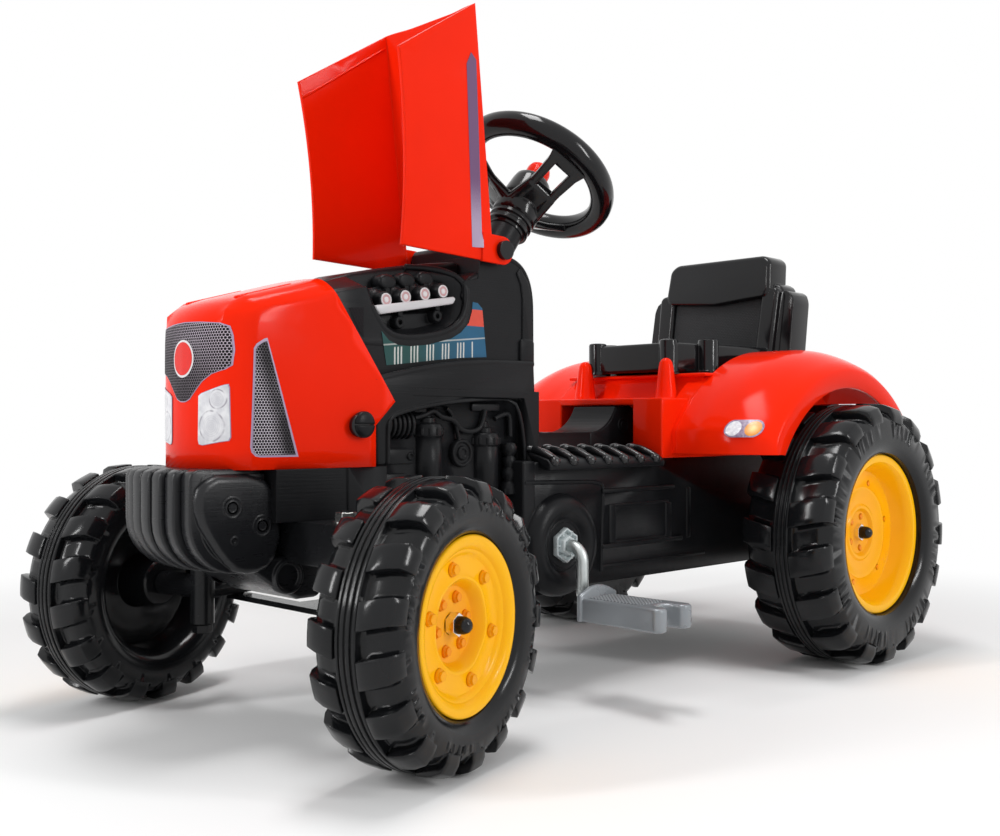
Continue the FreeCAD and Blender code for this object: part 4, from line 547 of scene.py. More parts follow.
# %% Tyres
def tyre(end, word, body, radius, half, disc, inset, depth, lug, steer):
    node = f"{end}_{word}_wheel"
    outward = 1 if word == "left" else -1
    profile, turn_point = wheel_profile(radius, half, disc, inset, depth, lug)
    steps = PITCHES * CELLS
    bm = bmesh.new()
    lathe(bm, profile, steps)
    index_of = {(round(x, 1), round(r, 1)): number for number, (x, r) in enumerate(profile)}

    def profile_number(vert):
        return index_of.get((round(vert.co.x / MM, 1), round(math.hypot(vert.co.y, vert.co.z) / MM, 1)), -1)

    number_of = {vert: profile_number(vert) for vert in bm.verts}
    mirror_segments = [2 * turn_point - 2 - number for number in LUG_SEGMENTS]
    lugs, bars = [], []
    for face in bm.faces:
        segment = min(number_of[vert] for vert in face.verts)
        spot = face.calc_center_median()
        cell = int((math.atan2(spot.y, spot.z) % math.tau) / math.tau * steps)
        if segment in LUG_SEGMENTS and cell % CELLS < LUG_CELLS:
            lugs.append(face)
        elif segment in mirror_segments and (cell + LUG_CELLS) % CELLS < LUG_CELLS:
            lugs.append(face)
        elif segment == BAR_SEGMENT and cell % PITCHES < BAR_RUN and cell % 2 == 0:
            bars.append(face)
    push = lug_push(profile, lug, half)
    grown = bmesh.ops.extrude_face_region(bm, geom=lugs)["geom"]
    for vert in only(bmesh.types.BMVert, grown):
        shift, rise = push[profile[profile_number(vert)]]
        reach = math.hypot(vert.co.y, vert.co.z)
        grow = (reach + rise * MM) / reach
        vert.co = Vector((vert.co.x + shift * MM, vert.co.y * grow, vert.co.z * grow))
    raised = bmesh.ops.extrude_discrete_faces(bm, faces=bars)["faces"]
    for face in raised:
        spot = face.calc_center_median()
        for vert in face.verts:
            vert.co = spot + (vert.co - spot) * BAR_SHARE + Vector((BAR_RISE, 0, 0))
    bmesh.ops.recalc_face_normals(bm, faces=bm.faces)
    low = (radius - lug - ROUNDED_DEPTH) * MM
    soften(bm, LUG_ROUND, 2, 38, lambda edge: all(math.hypot(v.co.y, v.co.z) > low and abs(v.co.x) > ROUNDED_FROM
                                                  for v in edge.verts))
    for vert in bm.verts:
        lean = max(0, abs(vert.co.x) / MM - GROOVED_HALF) / radius * LUG_TWIST
        vert.co.rotate(Matrix.Rotation(lean * outward, 3, "X"))
    piece(f"{node}_tread", bm, wheel_black, body, [node], 32, wheel_spot(node, outward, steer))


REAR_WHEEL = dict(radius=117, half=41.5, disc=70, inset=15, depth=22, lug=8, steer=0)
FRONT_WHEEL = dict(radius=91.7, half=31.8, disc=54.6, inset=10, depth=13, lug=7, steer=STEER)
WHEELS = (("front", "left", "front_left_wheel", FRONT_WHEEL),
          ("front", "right", "front_right_wheel", FRONT_WHEEL),
          ("rear", "left", "rear_axle", REAR_WHEEL),
          ("rear", "right", "rear_right_wheel", REAR_WHEEL))
for end, word, body, sizes in WHEELS:
    tyre(end, word, body, **sizes)

# %% [markdown]
# ## Wheel discs
# A yellow dish is pressed into each wheel. The front one has a rolled edge, two steps, and six outer and six
# inner bolt heads on a scalloped floor, while the rear one is deeper and smoother. The dish is another spun
# profile, and the bolt heads are short six-sided cans set round it. Each point also keeps how deep it lies, and
# the yellow turns to orange with that depth and on the bolt heads: painted shade in the dish.

# %% Disc finish
disc_yellow, wire = new_finish("disc_yellow")
spot = place_of(wire)[0]
deep = wire.node("ShaderNodeAttribute", out="Fac", attribute_name="deep")
clouds, grain = noise(wire, spot, 30, 4), noise(wire, spot, 500, 2)
# Painted shade: the yellow darkens to orange with the stored depth, with cloudy variation on top.
tone = (deep + (clouds - 0.5) * 0.3).step(0, 1).mix((1.0, 0.50, 0.003), (0.88, 0.25, 0.002))
surface(wire, {"Base Color": tone, "Roughness": 0.2 + clouds * 0.08, "Specular IOR Level": 0.14,
               "Coat Weight": 0.05}, [(grain, 0.00002)], 0.0009)
print("disc finish ready")

# %% Wheel discs
DISH = {"front": [(-1, 0.3), (4.2, 1.2), (5.2, 0.4), (5.6, -1.6), (5, -4.6), (2.8, -7), (1.2, -8), (0.8, -9.4),
                  (-0.2, -10.6), (-1.6, -12), (-2, -14), (-2, -23), (-1.2, -24.6), (-1.4, -26), (-3.4, -28),
                  (-7.4, -29.6), (-9, -31), (-9.6, -33.5), (-9.6, -48)],
        "rear": [(-1, 0.3), (4.6, 1.2), (5.8, 0.2), (6.2, -2), (5.6, -5.6), (3, -8), (-2, -9.6), (-9, -11.6),
                 (-12.6, -14), (-13.6, -18), (-13.2, -27), (-12, -29), (-12.2, -31), (-13.4, -33), (-13.6, -44),
                 (-12.4, -46), (-12.6, -48.4), (-15.6, -51), (-16.4, -54), (-16.6, -64)]}
FRONT_PHASE = 0.73
# Each ring of bolts: how many, its radius, their size, the floor they stand on, their height, the first one's turn.
BOLTS = {"front": ((6, 36.5, 3.7, -2.1, 3.4, FRONT_PHASE), (6, 17, 3.2, -9.7, 3.2, 0.34)),
         "rear": ((6, 46, 2.4, -13.7, 0.9, 0.3), (5, 15, 2.6, -16.7, 1.4, 0.3))}
SCALLOP, SCALLOP_RING, SCALLOP_HALF = 0.9, 36, 9
# The painted shade: how it grows with depth, its share, and the extra shade painted on the bolt heads.
RIM_RISE, SHADE_POWER, SHADE_SHARE, BOLT_SHADE = 6, 1.6, 0.45, 0.4


def disc_piece(end, word, body, half, disc, inset, steer):
    face = half - inset
    bm = bmesh.new()
    lathe(bm, [(face + along, disc + fall) for along, fall in DISH[end]], 96)
    dish_points = len(bm.verts)
    for count, ring, size, floor_x, height, phase in BOLTS[end]:
        for number in range(count):
            turn = math.tau * (number + phase) / count
            spot = (face + floor_x, ring * math.sin(turn), ring * math.cos(turn))
            can(bm, size * 1.25, size * 1.1, height * 0.5, spot, 18)
            can(bm, size, size * 0.9, height, spot, 6)
    if end == "front":
        for vert in bm.verts:
            reach = math.hypot(vert.co.y, vert.co.z) / MM
            turn = math.atan2(vert.co.y, vert.co.z)
            wave = max(0, 1 - abs(reach - SCALLOP_RING) / SCALLOP_HALF)
            vert.co.x += SCALLOP * MM * wave * math.cos(6 * turn - math.tau * FRONT_PHASE)
    # Each point stores its painted shade: more the deeper it lies, and more again on the bolt heads.
    shade = bm.verts.layers.float.new("deep")
    top, floor_at = face + RIM_RISE, face + min(along for along, fall in DISH[end])
    for number, vert in enumerate(bm.verts):
        fall = within((top - vert.co.x / MM) / (top - floor_at))
        vert[shade] = fall ** SHADE_POWER * SHADE_SHARE + (BOLT_SHADE if number >= dish_points else 0)
    piece(f"{end}_{word}_disc_dish", bm, disc_yellow, body, [f"{end}_{word}_disc"], 32,
          wheel_spot(f"{end}_{word}_wheel", 1 if word == "left" else -1, steer), False)


for end, word, body, sizes in WHEELS:
    disc_piece(end, word, body, *(sizes[key] for key in ("half", "disc", "inset", "steer")))

# %% Axle ends
CAP_BACK = 0.0035
CAP_DOME = [(-4.2, 5.2), (-4.2, 5.7), (-3, 5.7), (1.4, 5.5), (4, 4.4), (5.6, 2.6), (6.2, 0)]


def cap_dome(bm, spot, outward, steer):
    """A short black cap pushed over the end of an axle."""
    part = bmesh.new()
    lathe(part, CAP_DOME, 28)
    turn = Matrix.Rotation(math.radians(steer) + (0 if outward > 0 else math.pi), 4, "Z")
    bmesh.ops.transform(part, matrix=Matrix.Translation(spot) @ turn, verts=part.verts)
    merge(bm, part)


for word, outward in (("left", 1), ("right", -1)):
    bm = bmesh.new()
    cap_dome(bm, middle(f"front_{word}_axle_cap"), outward, STEER)
    piece(f"front_{word}_cap_dome", bm, black_gloss, f"{word}_knuckle",
          [f"front_{word}_axle_cap"], 50)
bm = bmesh.new()
low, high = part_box("rear_axle_caps")
for outward, end_x in ((1, high.x), (-1, low.x)):
    cap_dome(bm, Vector((end_x - outward * CAP_BACK, (low.y + high.y) / 2, (low.z + high.z) / 2)), outward, 0)
piece("rear_cap_domes", bm, black_gloss, "rear_axle", ["rear_axle_caps"], 50)

# %% [markdown]
# ## Saddle and fenders
# One gloss red moulding carries the seat and wraps over both rear wheels. Each fender is a crowned section
# swept about the rear axle, and its front edge is drawn straight down into an apron with soft upright
# flutes. The middle is a low step with a recess for the spine, a higher step behind it under the seat,
# and two fingers that stand on the low step and hold the seat.

# %% Fender sweep
REAR, REAR_HEIGHT, APRON_FOOT, SWEEP_STEP = 253.15, 117, 189, 2.2
FENDER, FENDER_BACK, FENDER_FRONT = 168, 44, 57
FLUTES, FLUTE_WIDE, FLUTE_DEEP, FLUTE_SKIN = (62, 121), 29.5, 1.3, 0.1665


def close_ends(bm):
    """Fill the open ends of a swept wall."""
    rims = [edge for edge in bm.edges if len(edge.link_faces) == 1]
    bmesh.ops.triangle_fill(bm, edges=rims, use_beauty=True)


def swept(bm, section, rear_angle, front_angle, apron):
    """Sweep a closed section (X, radius) about the rear axle and draw its front edge down."""
    steps = max(8, round((rear_angle + front_angle) / SWEEP_STEP))
    lathe(bm, section + section[:1], steps, rear_angle + front_angle, -rear_angle)
    if apron:
        tip = math.radians(front_angle)
        ends = [edge for edge in bm.edges if all(abs(math.atan2(-v.co.y, v.co.z) - tip) < 1e-3 for v in edge.verts)]
        for vert in only(bmesh.types.BMVert, bmesh.ops.extrude_edge_only(bm, edges=ends)["geom"]):
            vert.co.z = min(vert.co.z, (APRON_FOOT - REAR_HEIGHT) * MM)
    close_ends(bm)
    for vert in bm.verts:
        along, lean = vert.co.x / MM, math.degrees(math.atan2(-vert.co.y, vert.co.z))
        if FLUTES[0] < along < FLUTES[1] and math.hypot(vert.co.y, vert.co.z) > FLUTE_SKIN:
            wave = math.sin(math.pi * (along - FLUTES[0]) / FLUTE_WIDE) ** 2
            vert.co.y -= FLUTE_DEEP * MM * within((lean - 30) / 26) * wave
    bmesh.ops.translate(bm, verts=bm.verts, vec=Vector((0, REAR, REAR_HEIGHT)) * MM)


def crown(x):
    """The radius of the fender's outer skin at a place along the axle."""
    return FENDER if x < 118 else FENDER - 18 * ((x - 118) / 54) ** 1.9


print("fenders reach from", -FENDER_BACK, "to", FENDER_FRONT, "degrees about the axle")

# %% Fenders
bm, inner, wall, arch = (bmesh.new() for k in range(4))
outer = [(80 + 3.45 * k, crown(80 + 3.45 * k)) for k in range(26)]
lip = [(171, 149.2), (172, 147), (172, 133), (171, 131), (169.5, 131), (169, 133), (169, 146)]
under = [(x, crown(x) - 3.2) for x in (164, 156, 146, 134, 118, 104, 92, 80)]
swept(bm, outer + lip + under, FENDER_BACK, FENDER_FRONT, True)
steps_in = [(61 + 3.3 * k, FENDER) for k in range(7)]
swept(inner, steps_in + [(80.8, 165), (61, 165)], -30.6, FENDER_FRONT, True)
swept(wall, [(80, 131), (80, 167), (83, 167), (83, 131)], FENDER_BACK, FENDER_FRONT, False)
swept(arch, [(80.5, 100), (80.5, 140), (82.5, 140), (82.5, 100)], FENDER_BACK, 30, False)
merge(bm, inner, wall, arch)
mirrored(bm)
red_fenders = piece("fenders", bm, red_gloss, "frame", smooth=55)

# %% Saddle middle
STEP = [(97.2, 185.2), (124, 185.2), (124, 238.5), (97.2, 238.5)]
bm = bmesh.new()
for x, wide, outline in ((-76, 152, [(122, 185.2), (345, 185.2), (345, 238.5), (122, 238.5)]),
                         (-76, 33, STEP), (43, 33, STEP),
                         (-44, 88, [(97.2, 232.4), (124, 232.4), (124, 238.5), (97.2, 238.5)]),
                         (-76, 152, [(150, 234), (345, 234), (345, 262), (160, 262)])):
    slab(bm, [(x, y, z) for y, z in outline], (wide, 0, 0))
block(bm, (166, 192, 3.2), (0, 249, 260.4))
soften(bm, 3, 3)
piece("saddle_middle", bm, red_gloss, "frame", ["saddle"])
bm = bmesh.new()
turned(bm, [(-3, 15), (0, 12.4), (3, 10.8), (10, 9.6), (22, 8.2), (31, 7), (35, 6), (37.6, 4.2), (38.8, 2), (39, 0)],
       axis="Z", steps=28)
bmesh.ops.scale(bm, verts=bm.verts, vec=(0.95, 1, 1))
bmesh.ops.translate(bm, verts=bm.verts, vec=Vector((49, 139, 237)) * MM)
mirrored(bm)
piece("saddle_fingers", bm, red_gloss, "frame", smooth=50)

# %% [markdown]
# ## Seat
# The seat is a hollow gloss black moulding with a woven-look panel on its back, side bolsters, a headrest
# that bulges over the panel, and round bosses at the corners of the pan. It is built from softened blocks
# sheared to the lean of the back.

# %% Seat finish
THREAD = 0.0017
weave_black, wire = new_finish("weave_black")
spot, (along, ahead, up) = place_of(wire)
warp = (along * (1 / THREAD)).part() - 0.5
weft = (up * (1 / THREAD)).part() - 0.5
over = (along * (0.5 / THREAD)).part().step(0.49, 0.51) - (up * (0.5 / THREAD)).part().step(0.49, 0.51)
threads = 1 - abs(warp).least(abs(weft)) * 2
height = threads * 0.6 + abs(over) * 0.4
shade = noise(wire, spot, 30, 4)
# Painted light and shade: the raised threads are coloured paler and the gaps between them darker.
surface(wire, {"Base Color": (height * 0.6 + shade * 0.4).mix((0.008, 0.008, 0.009), (0.030, 0.031, 0.033)),
               "Roughness": 0.72 - height * 0.12, "Specular IOR Level": 0.3}, [(height, 0.00035)])
print("woven finish ready")

# %% Seat plates
SEAT_FOOT, LEAN, BACK = 264, 16 / 93, 284.15


def leaning(bm):
    """Shear a back upright in Y to the lean of the seat."""
    for vert in bm.verts:
        vert.co.y += max(0, vert.co.z - SEAT_FOOT * MM) * LEAN


def rounded_plate(bm, corners, front, thick, corner, edge):
    """An upright plate from its front view (X, Z), with round corners and soft edges."""
    slab(bm, [(x, front, z) for x, z in corners], (0, thick, 0))
    bmesh.ops.recalc_face_normals(bm, faces=bm.faces)
    posts = [e for e in bm.edges if abs(e.verts[0].co.y - e.verts[1].co.y) > thick * MM * 0.9]
    bmesh.ops.bevel(bm, geom=posts, offset=corner * MM, offset_type="OFFSET", affect="EDGES", segments=6,
                    profile=0.5, material=-1, clamp_overlap=True)
    soften(bm, edge, 4, 50)


print("seat leans", round(math.degrees(math.atan(LEAN)), 1), "degrees")

# %% Seat
parts = []
for corners, front, thick, corner, edge in (
        ([(-74, 264), (74, 264), (74, 352), (64, 358), (-64, 358), (-74, 352)], BACK, 27, 5, 3),
        ([(66, 270), (87, 270), (86, 340), (80, 349), (66, 349)], BACK + 2, 30, 6, 4.5),
        ([(-87, 270), (-66, 270), (-66, 349), (-80, 349), (-86, 340)], BACK + 2, 30, 6, 4.5),
        ([(52, 278), (71, 282), (73, 352), (54, 355)], BACK - 8, 16, 5, 5),
        ([(-71, 282), (-52, 278), (-54, 355), (-73, 352)], BACK - 8, 16, 5, 5),
        ([(-60, 343), (0, 338), (60, 343), (64, 350), (62, 380), (54, 386), (-54, 386), (-62, 380), (-64, 350)],
         BACK - 10, 34, 5, 6)):
    part = bmesh.new()
    rounded_plate(part, corners, front, thick, corner, edge)
    parts.append(part)
upright, pan, bosses = bmesh.new(), bmesh.new(), bmesh.new()
merge(upright, *parts)
leaning(upright)
slab(pan, [(-51, 146.2, SEAT_FOOT), (51, 146.2, SEAT_FOOT), (73, 318, SEAT_FOOT), (-73, 318, SEAT_FOOT)], (0, 0, 27))
soften(pan, 3, 3)
for x, y, r, foot, top in ((43, 151, 9.5, 263, 294), (60, 190, 10.5, 258, 295)):
    for side in (1, -1):
        turned(bosses, [(foot, 0.01), (foot, r), (266, r), (267, r - 0.8), (top - 2, r - 0.8), (top - 0.6, r - 1.4),
                        (top, r - 3), (top, 0.01)], (side * x, y, 0), "Z", 28)
for side in (1, -1):
    block(bosses, (22, 60, 8), (side * 56, 196, 261))
merge(pan, bosses, upright)
piece("seat_shell", pan, black_gloss, "frame", ["seat"], 40)
bm = bmesh.new()
rounded_plate(bm, [(-54, 288), (54, 288), (55, 350), (-55, 350)], BACK - 3, 6, 6, 2.4)
leaning(bm)
piece("seat_panel", bm, weave_black, "frame", smooth=40)

# %% [markdown]
# ## Steering wheel
# A thick gloss black rim with a flattened section, three spokes that rise from the collar to the rim, two of
# them with a window, and a hub that widens down to collar rings. It is made about its own axis and then
# leaned and turned to where the toy holds it.

# %% Steering wheel
STEERING = (Matrix.Translation(Vector((0, 16.63, 431)) * MM) @ Matrix.Rotation(math.radians(-36), 4, "X")
            @ Matrix.Rotation(math.radians(STEER), 4, "Z"))
RIM_RADIUS, RIM_WIDE, RIM_TALL, RIM_STEPS = 62.5, 9.8, 9.6, 20
SPOKE_RISE, SPOKE_DROP, SPOKE_FROM, SPOKE_RUN = 34, 30, 14, 43
PLAIN_SPOKE = [(14, -12), (34, -9.5), (52, -11), (57, -13), (57, 13), (52, 11), (34, 9.5), (14, 12)]
SPOKE_BAR = [(12, -15.4), (36, -14.6), (50, -16), (57, -19), (57, -8), (36, -7.6), (12, -7.6)]
WINDOW_SPOKE = (SPOKE_BAR, [(x, -y) for x, y in SPOKE_BAR], [(8, -18), (32, -14.8), (32, 14.8), (8, 18)],
                [(50, -9), (57, -10), (57, 10), (50, 9)])
bm = bmesh.new()
section = []
for k in range(RIM_STEPS):
    turn = math.tau * k / RIM_STEPS
    wide, tall = math.cos(turn), math.sin(turn)
    section.append((math.copysign(abs(tall) ** 0.85, tall) * RIM_TALL,
                    RIM_RADIUS + math.copysign(abs(wide) ** 0.75, wide) * RIM_WIDE))
turned(bm, section + section[:1], axis="Z", steps=96)
turned(bm, [(-7, 9.4), (-5.4, 10.8), (-5, 14.2), (-7.4, 16.4), (-12, 17.4), (-24, 18.6), (-36, 20), (-44, 20.4),
            (-49, 19.6), (-51, 17.4), (-51.6, 19.2), (-55, 19.4), (-55.8, 17.6), (-58, 17.6), (-58.6, 18.8),
            (-62, 18.8), (-62.8, 16.2), (-65, 15.8), (-65, 5.2)], axis="Z", steps=48)
for turn, outlines in ((90, (PLAIN_SPOKE,)), (210, WINDOW_SPOKE), (330, WINDOW_SPOKE)):
    spoke = bmesh.new()
    for outline in outlines:
        slab(spoke, [(x, y, -14) for x, y in outline], (0, 0, 8))
    soften(spoke, 1.6, 3, 50)
    for vert in spoke.verts:
        climb = within((vert.co.x / MM - SPOKE_FROM) / SPOKE_RUN) ** 1.1
        vert.co.z += (SPOKE_RISE * climb - SPOKE_DROP) * MM
    bmesh.ops.rotate(spoke, verts=spoke.verts, cent=(0, 0, 0), matrix=Matrix.Rotation(math.radians(turn), 3, "Z"))
    merge(bm, spoke)
piece("steering_ring", bm, black_gloss, "steering_column", ["steering_wheel"], 34, STEERING)
bm = bmesh.new()
turned(bm, [(-12, 9.8), (0, 10.6), (6, 10.5), (9.4, 9.4), (11.8, 7), (13, 3.8), (13.4, 0)], axis="Z", steps=40)
piece("horn_dome", bm, red_gloss, "horn", smooth=50, place=STEERING)

# %% [markdown]
# ## Front cowl
# The nose is a red shell with a sloping top, soft corners and a slanted rear edge. A pushed side view
# is rounded along its long edges while it is still a simple block, cut into a grid, and only then
# pulled to the widths of the real nose, so the round edges follow the taper. A wall is added last.

# %% Cowl shape
COWL = [(-322.85, 185), (-206.85, 185), (-206.85, 214), (-189.85, 231), (-242.85, 315), (-302.5, 298.5),
        (-311.8, 289)]
COWL_HALF, COWL_FOOT, COWL_LEAN, COWL_CROWN, COWL_WALL = 50, 185, 0.1058, 2.2, 2.4
COWL_CORNER, COWL_BROW, COWL_BLEND = 0.014, 0.006, 2.5


def cowl_half(y, z):
    """Half the nose's width: it widens to the rear and narrows towards the top."""
    plan = 48 + 11 * (y + 322.85) / 133
    view = 59 - 9 * max(0, z - 231) / 84
    return -COWL_BLEND * math.log(math.exp(-plan / COWL_BLEND) + math.exp(-view / COWL_BLEND))


def cowl_front(x):
    """Where the front of the nose stands: a bow in plan, the same at every height."""
    return -325 + 12 * (x / COWL_HALF) ** 2


def pulled(x, y, z):
    """A point of the plain block, pulled to the widths, the bow and the crown of the nose."""
    bulge = 1 - min(1, (x / COWL_HALF) ** 2)
    flat = COWL[0][0] + (z - COWL_FOOT) * COWL_LEAN
    return Vector((x / COWL_HALF * cowl_half(y, z), y + (cowl_front(x) - flat) * within((-300 - y) / 14),
                   z + COWL_CROWN * bulge * within((z - 285) / 12))) * MM


print("nose is", round(2 * cowl_half(-200, 231)), "mm wide at its rear edge")

# %% Front cowl
bm = bmesh.new()
slab(bm, [(-COWL_HALF, y, z) for y, z in COWL], (2 * COWL_HALF, 0, 0))
bmesh.ops.recalc_face_normals(bm, faces=bm.faces)
long_edges = [e for e in bm.edges if abs(e.verts[0].co.x - e.verts[1].co.x) < 1e-6 and
              all(v.co.y < -0.2428 or v.co.z > 0.31 for v in e.verts) and max(v.co.z for v in e.verts) > 0.2]
bmesh.ops.bevel(bm, geom=long_edges, offset=COWL_CORNER, offset_type="OFFSET", affect="EDGES", segments=8,
                profile=0.5, material=-1, clamp_overlap=False)
brow = [e for e in bm.edges if abs(e.verts[0].co.x - e.verts[1].co.x) > 0.05 and e.verts[0].co.z > 0.28
        and e.verts[0].co.y < -0.29]
bmesh.ops.bevel(bm, geom=brow, offset=COWL_BROW, offset_type="OFFSET", affect="EDGES", segments=4, profile=0.5,
                material=-1, clamp_overlap=True)
gone = [f for f in bm.faces if all(v.co.z < 0.1851 for v in f.verts) or (
    abs(f.normal.x) < 0.5 and all(v.co.y > -0.2432 and v.co.z < 0.3152 for v in f.verts) and f.normal.y > 0.2)]
bmesh.ops.delete(bm, geom=gone, context="FACES")
for axis, low, high, step in ((0, -COWL_HALF, COWL_HALF, 10), (1, -322, -190, 12), (2, 186, 315, 12)):
    grid_cut(bm, axis, span(low, high, step))
for vert in bm.verts:
    vert.co = pulled(*(vert.co / MM))
nose = piece("cowl_shell", bm, red_gloss, "frame", ["front_cowl"], 50)
wall = nose.modifiers.new("wall", "SOLIDIFY")
wall.thickness, wall.offset, wall.use_even_offset = COWL_WALL * MM, -1, True
bm = bmesh.new()
for x in (-31, 31):
    block(bm, (4.6, 46, 3.4), (x, -283, 304.03), (15.46, "X"))
soften(bm, 1.4, 3)
piece("cowl_ridges", bm, red_gloss, "frame", smooth=60)

# %% [markdown]
# ## Printed films
# The toy gets its grille, lamps and vents as printed films stuck to the mouldings. A film here is a flat
# outline cut into a fine grid and dropped onto the surface that carries it, so it follows every curve.
# The prints are plain patterns: punched mesh, round lenses and bars; the meshes carry painted light and shade.
# Places for words stay bare.

# %% Film helpers
RAY_START, RAY_DROP = 0.6, 0.4


def carrier_tree(*items):
    """A search tree over the meshes of the pieces that carry a film."""
    bm = bmesh.new()
    for item in items:
        bm.from_mesh(item.data)
    tree = BVHTree.FromBMesh(bm)
    bm.free()
    return tree


def film(name, outline, side, tree, finish, body, lift=0.25, cell=4, mirror=False):
    """Drop an outline onto a carrier. Side is the way it faces: +X uses (Y, Z), -Y uses (X, Z)."""
    bm = bmesh.new()
    facing = Vector((1, 0, 0)) if side == "+X" else Vector((0, -1, 0))
    face = bm.faces.new(chain(bm, [(0, a, b) if side == "+X" else (a, 0, b) for a, b in outline], True)[0])
    face.normal_update()
    if face.normal.dot(facing) < 0:
        bmesh.ops.reverse_faces(bm, faces=[face])
    for axis, values in zip((1 if side == "+X" else 0, 2), zip(*outline)):
        grid_cut(bm, axis, span(min(values), max(values), cell))
    for vert in bm.verts:
        start = vert.co + facing * (RAY_START - vert.co.dot(facing))
        hit = tree.ray_cast(start, -facing)[0]
        if hit is None:
            near = tree.find_nearest(start - facing * RAY_DROP)[0]
            hit = vert.co + facing * (near.dot(facing) - vert.co.dot(facing))
        vert.co = hit + facing * lift * MM
    if mirror:
        mirrored(bm)
    piece(name, bm, finish, body, smooth=60, tidy=False)


print("films can be laid")

# %% Film inks
def radius_from(first, second, at):
    """How far a point is from a centre, both in metres on the film."""
    return ((first - at[0]) ** 2 + (second - at[1]) ** 2) ** 0.5


def punched(name, axes_used, metal, shade=None, pitch=0.0021):
    """A film printed as punched metal: staggered dark holes in a sheet with a cloudy painted sheen, paler where
    shade is 1 (painted light) and darker where it is 0 (painted shade).
    """
    finish, wire = new_finish(name)
    spot, axes = place_of(wire)
    first, second = (axes[k] for k in axes_used)
    gaps = []
    for shift in (0.0, 0.5):
        across = (first * (1 / pitch) + shift).part() - 0.5
        down = (second * (1 / (pitch * 1.732)) + shift).part() - 0.5
        gaps.append((across * across + down * down * 3) ** 0.5)
    hole = gaps[0].least(gaps[1]).step(0.47, 0.41)
    # Painted sheen from noise; the shade function adds painted light and shade over the sheet.
    sheen = noise(wire, spot, 22, 3).step(0.3, 0.7) * 0.3
    sheen = (sheen + shade(first, second) * 0.85).least(1) if shade else sheen
    dark = tuple(value * 0.1 for value in metal)
    surface(wire, {"Base Color": hole.mix(sheen.mix(dark, metal), (0.012, 0.010, 0.012)),
                   "Roughness": 0.35 + hole * 0.2, "Specular IOR Level": 0.08}, [(1 - hole, 0.00008)])
    return finish


def inked(name, colour):
    """One printed colour with a faint screen grain."""
    finish, wire = new_finish(name)
    spot = place_of(wire)[0]
    dots = noise(wire, spot, 1800, 2)
    pale = tuple(min(1, value * 1.15) for value in colour)
    surface(wire, {"Base Color": dots.step(0.35, 0.65).mix(colour, pale), "Roughness": 0.28 + dots * 0.05,
                   "Specular IOR Level": 0.35}, [(dots, 0.00001)])
    return finish


lilac = inked("film_lilac", (0.40, 0.31, 0.44))
# Side vents: a painted shadow darkens the sheet along its slanted rear edge.
mesh_side = punched("film_mesh_side", (1, 2), (0.80, 0.74, 0.82),
                    lambda y, z: (y + z * 0.288 + 0.2143).step(-0.005, -0.017))
# Grille: painted light towards the top and the rider's left, painted shade towards the bottom and the rider's right.
mesh_front = punched("film_mesh_front", (0, 2), (0.62, 0.54, 0.62),
                     lambda x, z: (x * 11 + z * 18 - 4.6).step(-0.5, 0.8))
badge_red, rim_white = inked("film_badge_red", (0.72, 0.012, 0.006)), inked("film_rim_white", (0.72, 0.70, 0.72))
stripe_ink, wire = new_finish("film_stripe")
spot, (along, ahead, up) = place_of(wire)
dots = noise(wire, spot, 1800, 2)
tint = (up + (dots - 0.5) * 0.02).step(0.405, 0.365).mix((0.165, 0.085, 0.18), (0.42, 0.33, 0.46))
surface(wire, {"Base Color": tint, "Roughness": 0.28 + dots * 0.05, "Specular IOR Level": 0.2}, [(dots, 0.00001)])
print("film inks ready")

# %% Lamp and indicator inks
lamp_film, wire = new_finish("film_lamp")
spot, (along, ahead, up) = place_of(wire)
side_x = abs(along)
upper, lower = radius_from(side_x, up, (0.0335, 0.2312)), radius_from(side_x, up, (0.0285, 0.2136))
rings = (upper.step(0.0056, 0.0061) * upper.step(0.0070, 0.0064)
         + lower.step(0.0090, 0.0097) * lower.step(0.0108, 0.0101))
rings = rings * noise(wire, spot, 130, 2).step(0.35, 0.6)
bulbs = (upper.step(0.0026, 0.0008) + lower.step(0.0050, 0.0014)) * 0.5
facets = ((upper * 900).part() * upper.step(0.0050, 0.0046)
          + (lower * 700).part() * lower.step(0.0072, 0.0068)) * 0.35
tone = noise(wire, spot, 160, 3).step(0.25, 0.8).mix((0.62, 0.62, 0.66), (0.84, 0.84, 0.86))
tone = facets.mix(tone, (0.42, 0.42, 0.46))
tone = bulbs.least(1).mix(tone, (0.58, 0.58, 0.62))
surface(wire, {"Base Color": (rings * 0.8).least(1).mix(tone, (0.30, 0.28, 0.33)),
               "Roughness": 0.16 + facets * 0.1, "Coat Weight": 0.3}, [(facets, 0.00005)])

indicator_film, wire = new_finish("film_indicator")
spot, (along, ahead, up) = place_of(wire)
side_x = abs(along)
clear, amber = radius_from(side_x, up, (0.1370, 0.2113)), radius_from(side_x, up, (0.1525, 0.2113))
glints = noise(wire, spot, 420, 3).step(0.3, 0.7)
ground = glints.mix((0.22, 0.15, 0.25), (0.38, 0.30, 0.42))
ground = clear.step(0.0066, 0.0060).mix(ground, glints.mix((0.70, 0.70, 0.76), (0.92, 0.92, 0.95)))
warm = amber.step(0.0064, 0.0).mix((0.80, 0.28, 0.02), (0.95, 0.72, 0.28))
surface(wire, {"Base Color": amber.step(0.0066, 0.0060).mix(ground, warm), "Roughness": 0.18 + glints * 0.1,
               "Coat Weight": 0.3}, [(glints, 0.00004)])
print("lamp inks ready")

# %% Films
OVAL_STEPS = 28


